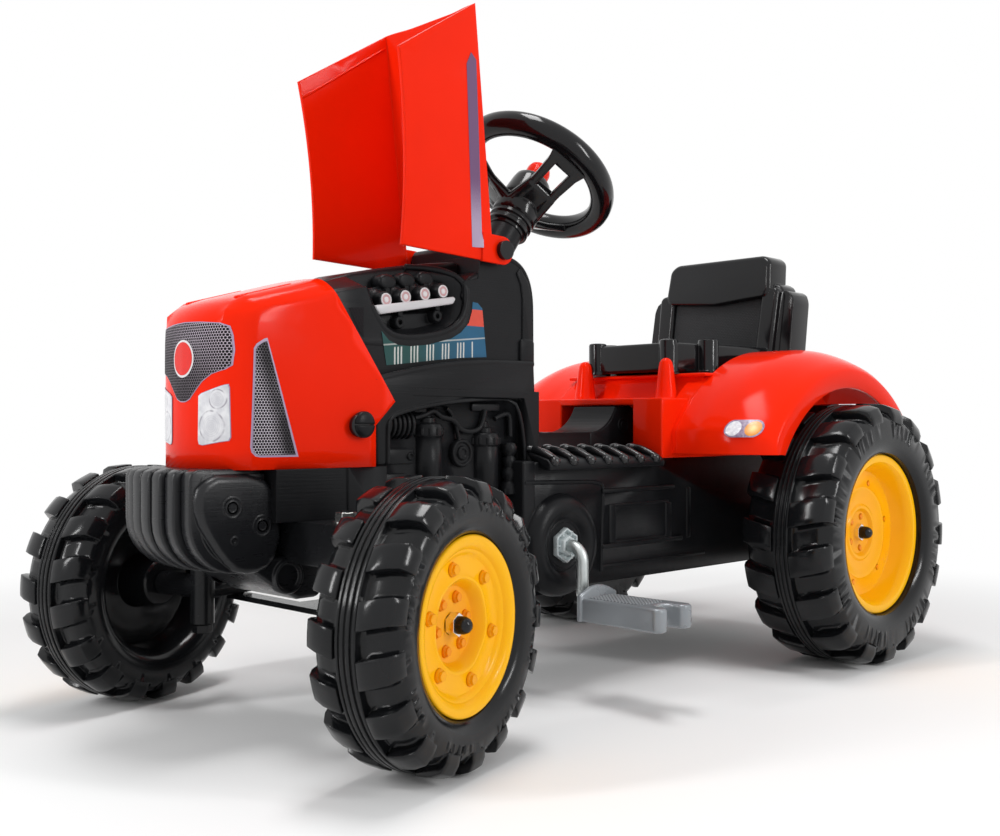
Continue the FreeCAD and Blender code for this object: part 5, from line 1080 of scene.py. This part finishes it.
def oval(centre, half_long, half_high):
    """A rounded bar: two half circles joined by straight runs."""
    points = []
    for k in range(OVAL_STEPS):
        turn = math.tau * k / OVAL_STEPS
        shift = half_long - half_high
        points.append((centre[0] + math.copysign(shift, math.cos(turn)) + half_high * math.cos(turn),
                       centre[1] + half_high * math.sin(turn)))
    return points


def inset_outline(outline, share, centre=None):
    """The same outline drawn smaller about its middle."""
    mid = centre or [sum(point[k] for point in outline) / len(outline) for k in (0, 1)]
    return [(mid[0] + (a - mid[0]) * share[0], mid[1] + (b - mid[1]) * share[1]) for a, b in outline]


VENT = [(-292.5, 271.5), (-295, 270.8), (-300.4, 267.4), (-302.4, 264.4), (-304.6, 200), (-303.8, 196.4),
        (-301.2, 193.8), (-297.6, 193.2), (-269.5, 193.2)]
VENT_MESH = [(-293, 269.2), (-295.4, 268.6), (-299.8, 265.6), (-301, 263.6), (-303.2, 200.2), (-302.6, 197.2),
             (-300.6, 195.2), (-297.4, 194.6), (-271.8, 194.6)]
GRILLE_HALF = [(0, 282.9), (17.2, 282.3), (35.1, 280.8), (41, 278.6), (42.7, 272.6), (43.5, 262.9), (42.7, 253),
               (38.9, 250.3), (28.8, 247.5), (21.1, 243.1), (15.4, 238), (8, 231.2), (3.4, 229.6), (0, 229.4)]
GRILLE = GRILLE_HALF + [(-x, z) for x, z in reversed(GRILLE_HALF[1:-1])]
LAMP = [(16.9, 204.5), (17.3, 233.3), (20.2, 235), (38.3, 240.2), (40.3, 240.5), (40.9, 238.3), (41.4, 206.6),
        (40.5, 204.3), (21.1, 201.3), (17.9, 201.9)]
STRIPE = [(-113, 499), (-118, 489), (-110.6, 350.5), (-99.6, 351), (-107, 494.5)]
cowl_tree, fender_tree = carrier_tree(nose), carrier_tree(red_fenders)
for name, outline, side, finish, lift, cell, mirror in (
        ("vent_rims", VENT, "+X", lilac, 0.35, 2.5, True),
        ("vent_meshes", VENT_MESH, "+X", mesh_side, 0.65, 2.5, True),
        ("grille_rim", GRILLE, "-Y", lilac, 0.35, 2, False),
        ("grille_mesh", inset_outline(GRILLE, (0.98, 0.975), (0, 257)), "-Y", mesh_front, 0.6, 2, False),
        ("badge_rim", oval((0, 258.4), 12.8, 12.6), "-Y", rim_white, 0.85, 2, False),
        ("badge_plain", oval((0, 258.4), 11.3, 11.1), "-Y", badge_red, 1.05, 2, False),
        ("lamp_rims", inset_outline(LAMP, (1.03, 1.02)), "-Y", lilac, 0.35, 2, True),
        ("lamp_films", LAMP, "-Y", lamp_film, 0.6, 2, True),
        ("indicator_films", oval((144.8, 211.3), 15.5, 7.6), "-Y", indicator_film, 0.9, 2, True)):
    carrier = fender_tree if name == "indicator_films" else cowl_tree
    film(name, outline, side, carrier, finish, "frame", lift, cell, mirror)
bonnet_tree = carrier_tree(frame["nodes"]["bonnet"])
film("bonnet_stripe", STRIPE, "+X", bonnet_tree, stripe_ink, "bonnet", 0.3, 6, True)

# %% [markdown]
# ## Engine side
# Under the bonnet sits a dummy engine. A raised band frames an arched bay on each side, and in the bay stand
# two canisters, a ribbed hose, thin pipes, a ringed cap and a bellows lever, all in the same satin black.
# The band is a pushed outline with soft edges, and its upper part leans in so that the bonnet can close over
# it. The pipes are curves given a round section and kept as mesh.

# %% Round bars
def piped(bm, points, radius):
    """A round bar along points in millimetres, which cuts the corners."""
    run = bpy.data.curves.new("run", "CURVE")
    run.dimensions, run.bevel_depth, run.bevel_resolution = "3D", radius * MM, 3
    run.use_fill_caps, run.resolution_u = True, 6
    line = run.splines.new("NURBS")
    line.points.add(len(points) - 1)
    for knot, point in zip(line.points, points):
        knot.co = (*(Vector(point) * MM), 1)
    line.order_u, line.use_endpoint_u = 3, True
    holder = bpy.data.objects.new("run", run)
    mesh = bpy.data.meshes.new_from_object(holder)
    bm.from_mesh(mesh)
    bpy.data.objects.remove(holder)
    bpy.data.curves.remove(run)
    bpy.data.meshes.remove(mesh)


print("round bars ready")

# %% Bay frames
ARCH = [(-54.8, 163), (-54.8, 234.6), (-95.6, 234.3), (-138, 230.6), (-170, 225.7), (-189.3, 221.1),
        (-194.4, 217), (-195.8, 212.5), (-195.8, 186)]
RIDGE = [(-206, 186), (-206, 247.6), (-195, 250.3), (-160.5, 257.3), (-123.8, 262.1), (-84.7, 264.8),
         (-38.6, 264.9), (-38.6, 163)]
BAND_IN, BAND_OUT, BAND_WIDEST, LEAN_FROM = 45.6, 55.8, 57, 231
bm = bmesh.new()
side_slab(bm, RIDGE + ARCH, BAND_IN, BAND_OUT, 2.4, 4)
piped(bm, [(55.4, y + 0.6, z + 0.8) for y, z in ARCH], 1.7)
piped(bm, [(53.6, y, z - 1.2) for y, z in RIDGE[1:-1]], 2.2)
for vert in bm.verts:
    x, y, z = vert.co / MM
    lean = within((z - LEAN_FROM) / 6)
    room = 50.6 + 8 * max(0, (-68 - y) / 139.5)
    leaned = x + (room - 56) * lean * max(0, (x - BAND_IN) / 10.4)
    vert.co.x = min(x, leaned, BAND_WIDEST + (room - BAND_WIDEST) * lean) * MM
mirrored(bm)
piece("bay_frames", bm, black_satin, "frame", smooth=40)

# %% Bay parts
KNURLS, CAN_X, CAN_RADIUS = 14, 44, 13.8
bm = bmesh.new()
hose = [(0, 0.01)]
for k in range(6):
    hose += [(4.4 * k, 8.2), (4.4 * k + 1, 10.6), (4.4 * k + 3, 10.6), (4.4 * k + 4, 8.2)]
turned(bm, hose + [(26.5, 8), (26.5, 0.01)], (45.5, -194.5, 214.5), "Y")
soft_blocks(bm, (((3, 26, 11), (48.4, -179.5, 191.5)), ((2.4, 20, 14), (48, -182, 172)),
                 ((4, 12, 5), (48.6, -160, 226)), ((3, 30, 6), (48, -92, 228)), ((5, 17, 5), (52.6, -68.5, 161.8)),
                 ((4, 9, 3), (51, -60, 179.6))), 1, 2)
turned(bm, [(49, 3), (51, 2.8), (51.4, 2), (50.2, 1.4), (50.2, 0.01)], (0, -170, 191.5))
for y, cap in ((-150, 207.5), (-91, 200)):
    turned(bm, [(cap - 2.5, 12.4), (cap - 1.2, CAN_RADIUS), (cap + 4.6, CAN_RADIUS), (cap + 6.2, 12.8),
                (cap + 7.4, 12.5), (cap + 8.6, 8), (cap + 12, 7.6), (cap + 12.6, 5), (cap + 17, 4.6),
                (cap + 17.4, 0.01)], (CAN_X, y, 0), "Z", 30)
    for k in range(KNURLS):
        turn = math.tau * k / KNURLS
        block(bm, (1.6, 1.6, 5), (CAN_X + CAN_RADIUS * math.cos(turn), y + CAN_RADIUS * math.sin(turn), cap + 2),
              (math.degrees(turn), "Z"))
turned(bm, [(46.5, 11), (50, 11), (51.6, 10), (51.6, 8.4), (50.2, 7.6), (50.2, 5.6), (52, 4.8), (52.2, 3.4),
            (51, 2.6), (51, 0.01)], (0, -118.5, 193))
for x, radius, run in ((50, 2.1, ((-166, 219.5), (-156, 221), (-147, 226), (-140.4, 220), (-126, 218.6), (-119, 209),
                                  (-100, 209.5), (-95, 220), (-94, 226))),
                       (50.5, 2.1, ((-84, 219), (-76, 222.5), (-68, 223.5), (-66.6, 216), (-66.6, 205))),
                       (49.5, 1.6, ((-134, 227), (-126, 224), (-121, 203)))):
    piped(bm, [(x, y, z) for y, z in run], radius)
turned(bm, [(160, 0.01), (160, 7), (163, 7.4), (168, 6.6), (170.5, 4.4), (174, 6), (178, 6.2), (181, 4.2),
            (184.5, 5.4), (188, 5.2), (190, 4), (193, 6), (197, 6.4), (200, 4.6), (201.4, 0.01)],
       (52, -69.5, 0), "Z", 24)
mirrored(bm)
piece("bay_parts", bm, black_satin, "frame", smooth=40)

# %% [markdown]
# ## Engine top
# A rounded tray is let into each side of the engine housing. A row of four caps with pale ring faces stands
# in it over a plain pale bar, with dark tubes lying across the top. The tray's rim is a bar along a curve
# and its wall is that curve drawn inwards. A sloped shoulder leads from the tray to the cowl, and a ridge runs
# along the middle. The row climbs a little to the rear, and all of it stays below the closed bonnet.

# %% Tray rims
TRAY = [(-207.4, 312.8), (-202, 300), (-195.5, 289), (-186.5, 281), (-174, 277.9), (-149, 280.3), (-126.5, 286),
        (-113.5, 294.8), (-108.8, 307), (-108.8, 320)]
TRAY_MIDDLE = (-0.158, 0.308)
SHOULDER_FOOT = 298
bm = bmesh.new()
rim_end = [(42, -111.6, 326), (37, -120, 331.5), (29, -136, 334.6), (23, -152, 334)]
piped(bm, [(44.2, y, z) for y, z in TRAY[1:]] + rim_end, 2.6)
side_slab(bm, TRAY + [(-106, 320), (-106, 271), (-238, 271), (-238, 306)], 38, 46.2, 0.6, 2)
shoulder = bmesh.new()
edges_of = ((45.7, -238, 307), (45.7, -207.4, 313.4), (22, -238, 314.6), (22, -207.4, 323))
corners = [(x, y, z) for x, y, top in edges_of for z in (top, SHOULDER_FOOT)]
bmesh.ops.convex_hull(shoulder, input=[shoulder.verts.new(Vector(corner) * MM) for corner in corners])
soften(shoulder, 3, 4)
merge(bm, shoulder)
edges = chain(bm, [(45, y, z) for y, z in TRAY] + [(41, -115, 328), (33, -131, 331), (25, -152, 331.6)])[1]
for share, x in ((0.965, 44), (0.87, 39), (0.82, 30)):
    grown = bmesh.ops.extrude_edge_only(bm, edges=edges)["geom"]
    edges = [edge for edge in only(bmesh.types.BMEdge, grown) if all(v in grown for v in edge.verts)]
    for vert in only(bmesh.types.BMVert, grown):
        y, z = (mid + (at - mid) * share for at, mid in zip(vert.co[1:], TRAY_MIDDLE))
        vert.co = Vector((min(x * MM, vert.co.x), y, z))
mirrored(bm)
side_slab(bm, [(-243, 306), (-228, 317), (-202, 325.6), (-177, 331), (-148, 336.4), (-117, 341), (-96, 344),
               (-96, SHOULDER_FOOT), (-243, SHOULDER_FOOT)], -23, 23, 5, 4)
side_slab(bm, [(-113, 312), (-110.6, 323), (-105, 329), (-96, 334), (-90, 336), (-90, 300), (-104, 300)],
          -45.4, 45.4, 3, 4)
tray_rims = piece("tray_rims", bm, black_satin, "frame", smooth=50)

# %% Cap row
def row_height(y):
    """The height of the cap row, which climbs to the rear."""
    return 305.2 + 0.19 * (y - CAPS[0])


CAPS, TUBE_SIDES = [-186.7, -168.4, -149.6, -131.4], 16
ROW = ((-199, -12), (-119, -12), (-118, 7), (-122, 10), (-196, 10), (-200, 6))
bm = bmesh.new()
side_slab(bm, [(y, row_height(y) + rise) for y, rise in ROW], -31, 31, 3.5, 4)
side_slab(bm, [(-207, 272), (-111, 272), (-111, 303), (-207, 294)], -34, 34, 2)
rings, faces, bars = bmesh.new(), bmesh.new(), bmesh.new()
for y in CAPS:
    z = row_height(y)
    turned(bm, [(24, 8.4), (33, 8.4), (34, 7.8), (35, 6.5), (41.6, 6.3), (42.8, 5.8), (43, 5.2), (43, 0.01)],
           (0, y, z))
    block(bm, (8, 4, 15), (31, y + 9.2, z + 2), (10, "X"))
    turned(rings, [(42.6, 4.9), (43.5, 4.7), (43.6, 3.8), (43.2, 3.6)], (0, y, z))
    turned(rings, [(42.9, 2.3), (43.5, 2.1), (43.6, 1.2), (43.6, 0.01)], (0, y, z))
    turned(faces, [(42.8, 3.9), (43.3, 3.7), (43.3, 2.1), (42.9, 1.9)], (0, y, z))
for y, z in ((-171.7, 289.8), (-135, 296.8)):
    turned(bm, [(32, 4.8), (40, 4.8), (41.2, 4), (41.2, 2), (38, 1.6), (38, 0.01)], (0, y, z))
    block(bm, (6, 4, 10), (37, y + 1, z + 6))
side_slab(bars, [(-198, 298.4), (-193, 294), (-122, 306.6), (-119, 310.6), (-121, 312.4), (-196.5, 300.4)],
          38, 44.6, 1.4)
for part in (bm, rings, faces, bars):
    mirrored(part)
for y in (-177, -158.5, -140):
    z = 319.6 + 0.15 * (y + 177)
    turns = [math.tau * k / TUBE_SIDES for k in range(TUBE_SIDES)]
    side_slab(bm, [(y + 8.4 * math.cos(turn), z + 6 * math.sin(turn)) for turn in turns], -34, 34, 2.6, 4)
pale_bar = moulded("bar_white", (0.60, 0.585, 0.60), 0.3, cloud=0.1)
piece("insert_row", bm, black_satin, "frame", ["engine_insert"], 40)
piece("cap_rings", rings, moulded("ring_white", (0.72, 0.68, 0.69), 0.25), "frame", smooth=40)
piece("cap_faces", faces, moulded("face_rose", (0.58, 0.33, 0.34), 0.3), "frame", smooth=40)
piece("insert_bars", bars, pale_bar, "frame", smooth=40)

# %% Housing edges
bm = bmesh.new()
EDGE = [(-86, 345.4), (-66, 347.6), (-50, 343), (-41, 332), (-37.2, 318), (-36.8, 300), (-36.8, 282)]
for x in (44.4, 39.4, 34.4):
    piped(bm, [(x, y, z) for y, z in EDGE], 2.5)
side_slab(bm, [(-49, 264), (-37, 264), (-37, 282), (-38, 318), (-42, 330), (-51, 340.6), (-55.4, 336),
               (-50.6, 327), (-48.6, 316)], 44, 47.4, 1.1)
side_slab(bm, [(-52, 262), (-36, 262), (-36, 281), (-38, 283.5), (-50, 283.5), (-52, 281)], 44, 48.4, 1.2)
mirrored(bm)
side_slab(bm, [(-92, 344), (-92, 354), (-88.5, 358.8), (-75, 358.8), (-70.5, 354), (-70.5, 344)],
          -40.4, 40.4, 1.4)
for x in (-22, 22):
    block(bm, (10, 4, 78), (x, -36.8, 300))
soften(bm, 0.8, 2, 60, lambda edge: all(abs(v.co.x) < 0.0275 for v in edge.verts))
piece("housing_edges", bm, black_satin, "frame", smooth=40)

# %% Engine print
engine_film, wire = new_finish("film_engine")
spot, (along, ahead, up) = place_of(wire)
rise = up - ahead * 0.1
fade = ahead.step(-0.170, -0.100)
drift = noise(wire, spot, 60, 3)
ground = (fade + (drift - 0.5) * 0.5).mix((0.006, 0.060, 0.055), (0.012, 0.10, 0.20))
FIN_PITCH, FIN_GROUP = 0.0031, 0.0155
fine = (ahead * (1 / FIN_PITCH)).part() - 0.5
groups = (ahead * (1 / FIN_GROUP)).part() - 0.5
fins = (abs(fine).step(0.26, 0.18) * abs(groups).step(0.36, 0.33) * rise.step(0.2755, 0.2765)
        * rise.step(0.2895, 0.2885))
fins = fins * ahead.step(-0.1875, -0.187) * ahead.step(-0.103, -0.1035)
rails = abs(rise - 0.2738).step(0.0007, 0.0004) + abs(rise - 0.2912).step(0.0007, 0.0004)
ink = (fins + rails * 0.6).least(1).mix(ground, drift.mix((0.42, 0.44, 0.42), (0.80, 0.80, 0.76)))
block_red = up.step(0.2905, 0.2912) * up.step(0.3040, 0.3033) * ahead.step(-0.112, -0.1115)
surface(wire, {"Base Color": block_red.mix(ink, drift.mix((0.62, 0.06, 0.035), (0.78, 0.10, 0.06))),
               "Roughness": 0.28 + drift * 0.1, "Specular IOR Level": 0.3}, [(drift, 0.00002)])
engine_tree = carrier_tree(frame["nodes"]["engine_housing"], tray_rims)
ENGINE_PRINT = [(-193.8, 282), (-189.1, 257.4), (-166, 260), (-143, 262.9), (-115, 265.8), (-88.6, 267.4),
                (-93.1, 305), (-98, 309), (-103.4, 309.4), (-104.2, 302), (-107.6, 293), (-115.9, 285.2),
                (-126, 280), (-149.1, 274.2), (-166, 272.2), (-178.6, 272.6), (-187, 275.6)]
HOUSING_VENT = [(-223, 296.5), (-210, 297.5), (-210, 276.5), (-213.5, 280)]
film("engine_films", ENGINE_PRINT, "+X", engine_tree, engine_film, "frame", 0.35, 5, True)
mesh_black = punched("film_mesh_black", (1, 2), (0.03, 0.03, 0.032), pitch=0.0026)
film("housing_vents", HOUSING_VENT, "+X", engine_tree, mesh_black, "frame", 0.3, 6, True)

# %% [markdown]
# ## Chassis sides
# The long black body has treads with fat rib ends along each footboard, a domed seat for the crank bush, ledges
# and a framed panel on its flank, and a narrow spine that swings up into the saddle. The solid stays as it
# is below the boards. A copy without its plain teeth takes its place, and the new ribs cover the gaps.

# %% Chassis skin
BOARD_CUT, SPINE_CUT, BOARD_FRONT, BOARD_REAR = 185.1, 24.6, -0.0377, 0.0965


def is_tooth(face):
    """A face of the plain teeth, which stand on the footboards beside the spine."""
    x, y, z = face.calc_center_median()
    return z > BOARD_CUT * MM and abs(x) > (SPINE_CUT + 0.1) * MM and BOARD_FRONT < y < BOARD_REAR


bm = skin_of("chassis")
grid_cut(bm, 2, [BOARD_CUT])
grid_cut(bm, 0, [-SPINE_CUT, SPINE_CUT])
teeth = [face for face in bm.faces if is_tooth(face)]
bmesh.ops.delete(bm, geom=teeth, context="FACES")
piece("chassis_skin", bm, black_satin, "frame", ["chassis"], 30, tidy=False)
print("faces taken off the boards", len(teeth))

# %% Treads
rib_black = moulded("rib_black", (0.010, 0.0103, 0.0115), 0.2, 0.00002, 600, 0.15, gloss=0.45)
TREAD = [(24, 183), (24, 194.6), (52, 194), (58, 192.6), (78, 187), (81, 184.4), (81.6, 181.4), (80.6, 178.6),
         (76, 178.2), (70, 180)]
TREAD_FRONT, TREAD_LONG, HOUSING_SIDE = -53, 147, 0.0555
RIBS, RIB_FIRST, RIB_PITCH = 7, -46.5, 21.55
bm, fat_ribs = bmesh.new(), bmesh.new()
slab(bm, [(x, TREAD_FRONT, z) for x, z in TREAD], (0, TREAD_LONG, 0))
soften(bm, 1.2, 3)
grid_cut(bm, 1, span(TREAD_FRONT, TREAD_FRONT + TREAD_LONG, 6))
for vert in bm.verts:
    if vert.co.x < HOUSING_SIDE:
        vert.co.y = max(vert.co.y, BOARD_FRONT)
for k in range(RIBS):
    y = RIB_FIRST + RIB_PITCH * k
    piped(fat_ribs, [(54, y - 3, 195), (62, y - 2.6, 194.6), (71, y - 1.4, 191.6), (80, y, 187)], 3.2)
    piped(fat_ribs, [(57, y + 12, 194), (68, y + 9, 191.4), (79, y + 2.4, 187)], 1.7)
    ball(fat_ribs, 4.4, (80.2, y, 185.6), (1.0, 1.15, 0.95))
    ball(fat_ribs, 4.2, (55, y - 3, 195.4), (1.3, 1.2, 0.8))
mirrored(bm)
mirrored(fat_ribs)
piece("tread_ribs", fat_ribs, rib_black, "frame", smooth=45, tidy=False)
piece("treads", bm, black_satin, "frame", smooth=45, tidy=False)

# %% Flanks
CRANK, CRANK_HEIGHT = -27.35, 118
LEDGE = ((-68, 169.2), (-20, 168), (25, 166.9), (27, 160), (25, 128), (24, 92))
bm = bmesh.new()
piped(bm, [(67.4, y, z) for y, z in LEDGE], 1.9)
soft_blocks(bm, (((6, 100, 4), (67.4, 74, 159)), ((6, 112, 4), (67.4, 80, 112.4)), ((5, 9, 33), (66.6, 38.6, 131)),
                 ((5, 9, 32), (66.6, 116.4, 129.6)), ((4.4, 80, 3), (66.6, 77.6, 146.4)),
                 ((4.4, 80, 3), (66.6, 77.6, 115.2)), ((5, 6, 46), (67, 146, 135)),
                 ((3, 150, 3), (67, 98, 96))), 1.3, 3)
turned(bm, [(64, 42), (68.6, 41.4), (72.4, 40), (75.6, 37.2), (77.6, 33.4), (78.2, 29.4), (77.2, 25.6), (74.6, 22.4),
            (73, 20.8), (72.6, 16), (72.4, 9)], (0, CRANK, CRANK_HEIGHT), "X", 64)
turned(bm, [(72.4, 20.4), (73.6, 19.8), (73.6, 18.6), (72.6, 18.2)], (0, CRANK, CRANK_HEIGHT), "X", 48)
side_slab(bm, [(-70, 186), (-70, 132), (-66, 118), (-60, 104), (-56, 104), (-56, 186)], 46, 68.6, 3)
mirrored(bm)
piece("flanks", bm, black_satin, "frame", smooth=40)

# %% Spine end
bm, discs = bmesh.new(), bmesh.new()
side_slab(bm, [(60, 186), (60, 207.6), (66, 208.3), (76.2, 210.9), (82, 213.7), (89, 219.2), (92.4, 224.8),
               (96.3, 230), (102, 231.7), (117, 231.5), (123, 228.5), (123, 186)], -24.9, 24.9, 1.6)
turned(discs, [(24.6, 7.4), (25.8, 7.2), (25.8, 6), (25.1, 5.6), (25.1, 4), (25.9, 3.6), (25.9, 0.01)],
       (0, 106.5, 214.6))
mirrored(discs)
merge(bm, discs)
piece("spine_end", bm, black_satin, "frame", smooth=40)

# %% [markdown]
# ## Front weights
# The nose carries a row of upright plates with a deep curve under them, and a smooth cheek with socket bolts
# at each end. Each plate is one side outline pushed a few millimetres, and its front steps back towards the
# ends to give the row its bow.

# %% Front weights
UNDERCUT, PLATE_PITCH, PLATE_HALF, ROW_FRONT = 34, 12.4, 5.5, -353


def weight_outline(front, back=-292, inset=0):
    """The side view of one plate, with a long curve from its front into its underside."""
    front = front + inset
    points = [(back, 118 + inset), (back, 185.6 - inset), (front + 6, 186 - inset), (front + 1.4, 184 - inset),
              (front, 180 - inset)]
    for k in range(9):
        turn = math.radians(90 * k / 8)
        points.append((front + UNDERCUT * (1 - math.cos(turn)), 152 - (UNDERCUT - inset) * math.sin(turn)))
    return points


bm = bmesh.new()
for k in range(-3, 4):
    x = PLATE_PITCH * k
    side_slab(bm, weight_outline(ROW_FRONT + 12 * (x / 45) ** 2), x - PLATE_HALF, x + PLATE_HALF, 1.5)
side_slab(bm, weight_outline(-341, -290, 3.4), -43, 43)
CHEEK = [(-342.6, 160), (-342.9, 167), (-341.3, 173.6), (-337.4, 178.8), (-328, 182.4), (-305, 182.2), (-292, 179),
         (-284, 172), (-280, 162), (-279, 140), (-283, 126), (-290, 119.4), (-298, 117.4), (-305, 117.4),
         (-314.2, 119.8), (-321, 125.3), (-327.7, 132.7), (-334.2, 142), (-339.7, 151)]
cheeks, bosses = bmesh.new(), bmesh.new()
side_slab(cheeks, CHEEK, 38, 48.2, 6.5, 6)
for y, z, r in ((-317.1, 161.2, 7.3), (-294.7, 148.4, 7.3), (-315.6, 139.8, 3)):
    turned(cheeks, [(46.8, r), (48.3, r - 0.3), (48.3, r - 1.1), (47.3, r - 1.4), (47.3, r * 0.62), (48.2, r * 0.56),
                    (48.2, r * 0.42), (46.9, r * 0.36), (46.9, 0.01)], (0, y, z), "X", 24)
mirrored(cheeks)
merge(bm, cheeks)
side_slab(bm, [(-300, 119), (-284, 108), (-262, 96), (-246, 96), (-238, 104), (-236, 126), (-300, 126)],
          -42, 42, 3, 4)
turned(bosses, [(38, 12), (43.6, 12), (44.8, 11), (44.8, 9.6), (41.4, 8.2), (40.6, 4.6), (40.6, 0.01)],
       (0, -271, 112.5), "X", 36)
mirrored(bosses)
merge(bm, bosses)
weight_black = moulded("weight_black", (0.010, 0.0104, 0.012), 0.26, 0.00003, 1100, 0.15, lines=0.00006, gloss=0.34)
piece("weight_plates", bm, weight_black, "frame", ["front_weights"], 40)

# %% [markdown]
# ## Pedals and crank bushes
# The pedals are silver grey mouldings: a fan shaped plate at the inner end, a diamond knurl on top and two round
# fork ends. Each turns on the bent crank rod, which leaves the body through a ribbed six-sided bush.

# %% Pedal finish
STUD = 0.0034
knurl_grey, wire = new_finish("knurl_grey")
spot, (along, ahead, up) = place_of(wire)
first = ((along + ahead) * (1 / STUD)).part() - 0.5
second = ((along - ahead) * (1 / STUD)).part() - 0.5
studs = abs(first).most(abs(second)).step(0.46, 0.22)
dust = noise(wire, spot, 200, 3)
# Painted light and shade: the raised studs are coloured paler and the grooves between them darker.
surface(wire, {"Base Color": (studs * 0.8 + dust * 0.2).mix((0.10, 0.11, 0.12), (0.40, 0.42, 0.44)),
               "Roughness": 0.34 + dust * 0.1, "Specular IOR Level": 0.4}, [(studs, 0.0007)])
print("pedal finish ready")

# %% Pedals
PEDAL_PLAN = [(0, -20), (48, -20.4), (60, -21.8), (75, -22), (79, -18.6), (79, -11.6), (75.6, -8.6), (67, -8.2),
              (61.5, -4.6)]
KNURL_PLAN = ((6, -15), (52, -16), (56, -13), (57, 13), (52, 16), (6, 15))
PEDAL_HALF = 9


def pedal_piece(word, side):
    low, high = (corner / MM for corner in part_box(f"{word}_pedal"))
    start = low.x if side > 0 else -high.x
    y, z = (low.y + high.y) / 2, low.z + PEDAL_HALF
    bm, fan, top = bmesh.new(), bmesh.new(), bmesh.new()
    plan = PEDAL_PLAN + [(a, -b) for a, b in reversed(PEDAL_PLAN)]
    slab(bm, [(start + a, y + b, z - PEDAL_HALF) for a, b in plan], (0, 0, 2 * PEDAL_HALF))
    soften(bm, 4.4, 5, 20)
    arc = [(-22 + 4 * k, 9.6 + 8.4 * math.cos(math.radians(-80 + 160 * k / 11))) for k in range(12)]
    slab(fan, [(start, y + a, z + b) for a, b in arc + [(22, -PEDAL_HALF), (-22, -PEDAL_HALF)]], (4.4, 0, 0))
    soften(fan, 1.6, 3)
    merge(bm, fan)
    slab(top, [(start + a, y + b, z + 8.6) for a, b in KNURL_PLAN], (0, 0, 0.9))
    soften(top, 0.3, 1)
    if side < 0:
        for part in (bm, top):
            bmesh.ops.scale(part, vec=(-1, 1, 1), verts=part.verts)
    piece(f"{word}_pedal_block", bm, grey_plastic, f"{word}_pedal", [f"{word}_pedal"], 40)
    piece(f"{word}_pedal_knurl", top, knurl_grey, f"{word}_pedal", smooth=40)


for word, side in (("left", 1), ("right", -1)):
    pedal_piece(word, side)

# %% Crank bushes
bush_grey = moulded("bush_grey", (0.60, 0.66, 0.67), 0.3, 0.00002, 900, 0.08)
BUSH_RIBS = 10.4
bm = bmesh.new()
turned(bm, [(66, 8.1), (71.8, 8.1), (71.8, 14.4), (76.6, 14), (76.6, 12.4), (72.6, 12), (72.6, 8.8), (78.4, 8.2),
            (79, 7.4), (79, 5.4), (66, 5.4)], (0, CRANK, CRANK_HEIGHT), "X", 6)
for k in range(6):
    turn = math.radians(60 * k + 30)
    spot = (74.6, CRANK + BUSH_RIBS * math.sin(turn), CRANK_HEIGHT + BUSH_RIBS * math.cos(turn))
    block(bm, (4, 1.5, 4.6), spot, (-math.degrees(turn), "X"))
soften(bm, 0.6, 2)
mirrored(bm)
piece("bush_hexes", bm, bush_grey, "frame", ["crank_bushes"], 35)

# %% Cowl caps
CAP_AT, CAP_SLOT = (-219.6, 214.6), 0.55
bm = bmesh.new()
for offset, start in ((CAP_SLOT, -90), (-CAP_SLOT, 90)):
    half = bmesh.new()
    lathe(half, [(57.2, 8.7), (60.4, 8.7), (61.4, 8), (62.2, 6), (62.6, 3), (62.7, 0.01)], 18, 180, start)
    close_ends(half)
    bmesh.ops.translate(half, verts=half.verts, vec=Vector((0, CAP_AT[0], CAP_AT[1] + offset)) * MM)
    merge(bm, half)
turned(bm, [(57.2, 8.4), (60, 8.4), (60, 0.01)], (0, *CAP_AT))
mirrored(bm)
piece("cap_domes", bm, black_satin, "frame", smooth=45)

# %% [markdown]
# ## Bonnet
# The bonnet is a thin red shell that stands open. A copy of the solid with its flat faces joined up takes
# rounded edges well. Its points are turned back to the closed bonnet, where a low crown along the middle and
# the bow of the lower edges are easy to say, and then opened again. A moulded line runs along each inner side.

# %% Bonnet
HINGE, OPEN = Vector((0, -78.35, 351)), Matrix.Rotation(math.radians(-92), 3, "X")
CROWN_LOW, CROWN_MORE, EDGE_BOW, SKIN = 2.4, 6.4, 4.6, 3.6


def eased(value):
    """A share from 0 to 1 that starts and ends gently."""
    share = within(value)
    return share * share * (3 - 2 * share)


def shaped(x, y, z):
    """A point of the closed bonnet, measured from its hinge, with the crown and the bow of the edges."""
    top = -8 - (10 - y) / 7
    if z > top - SKIN and abs(x) < 49.5:
        z += (CROWN_LOW + CROWN_MORE * eased((y + 177) / 80)) * (1 - eased((abs(x) - 23) / 25))
    elif abs(x) > 49.4:
        z += EDGE_BOW * max(0, 1 - ((y + 60) / 70) ** 2) * within((-40 - z) / 60)
    return Vector((x, y, z))


bm = skin_of("bonnet")
bmesh.ops.dissolve_limit(bm, angle_limit=math.radians(1), verts=bm.verts, edges=bm.edges)
soften(bm, 0.9, 3, 40)
grid_cut(bm, 0, range(-48, 49, 6))
grid_cut(bm, 2, range(352, 536, 12))
for vert in bm.verts:
    closed = OPEN.inverted() @ (vert.co / MM - HINGE)
    vert.co = (HINGE + OPEN @ shaped(*closed)) * MM
for side in (1, -1):
    low, high = (HINGE + OPEN @ Vector(spot) for spot in ((side * 59.3, -117.5, -113), (side * 51.1, -174, -39)))
    piped(bm, [low, low.lerp(high, 0.5), high], 0.7)
piece("bonnet_shell", bm, red_gloss, "bonnet", ["bonnet"], 40)
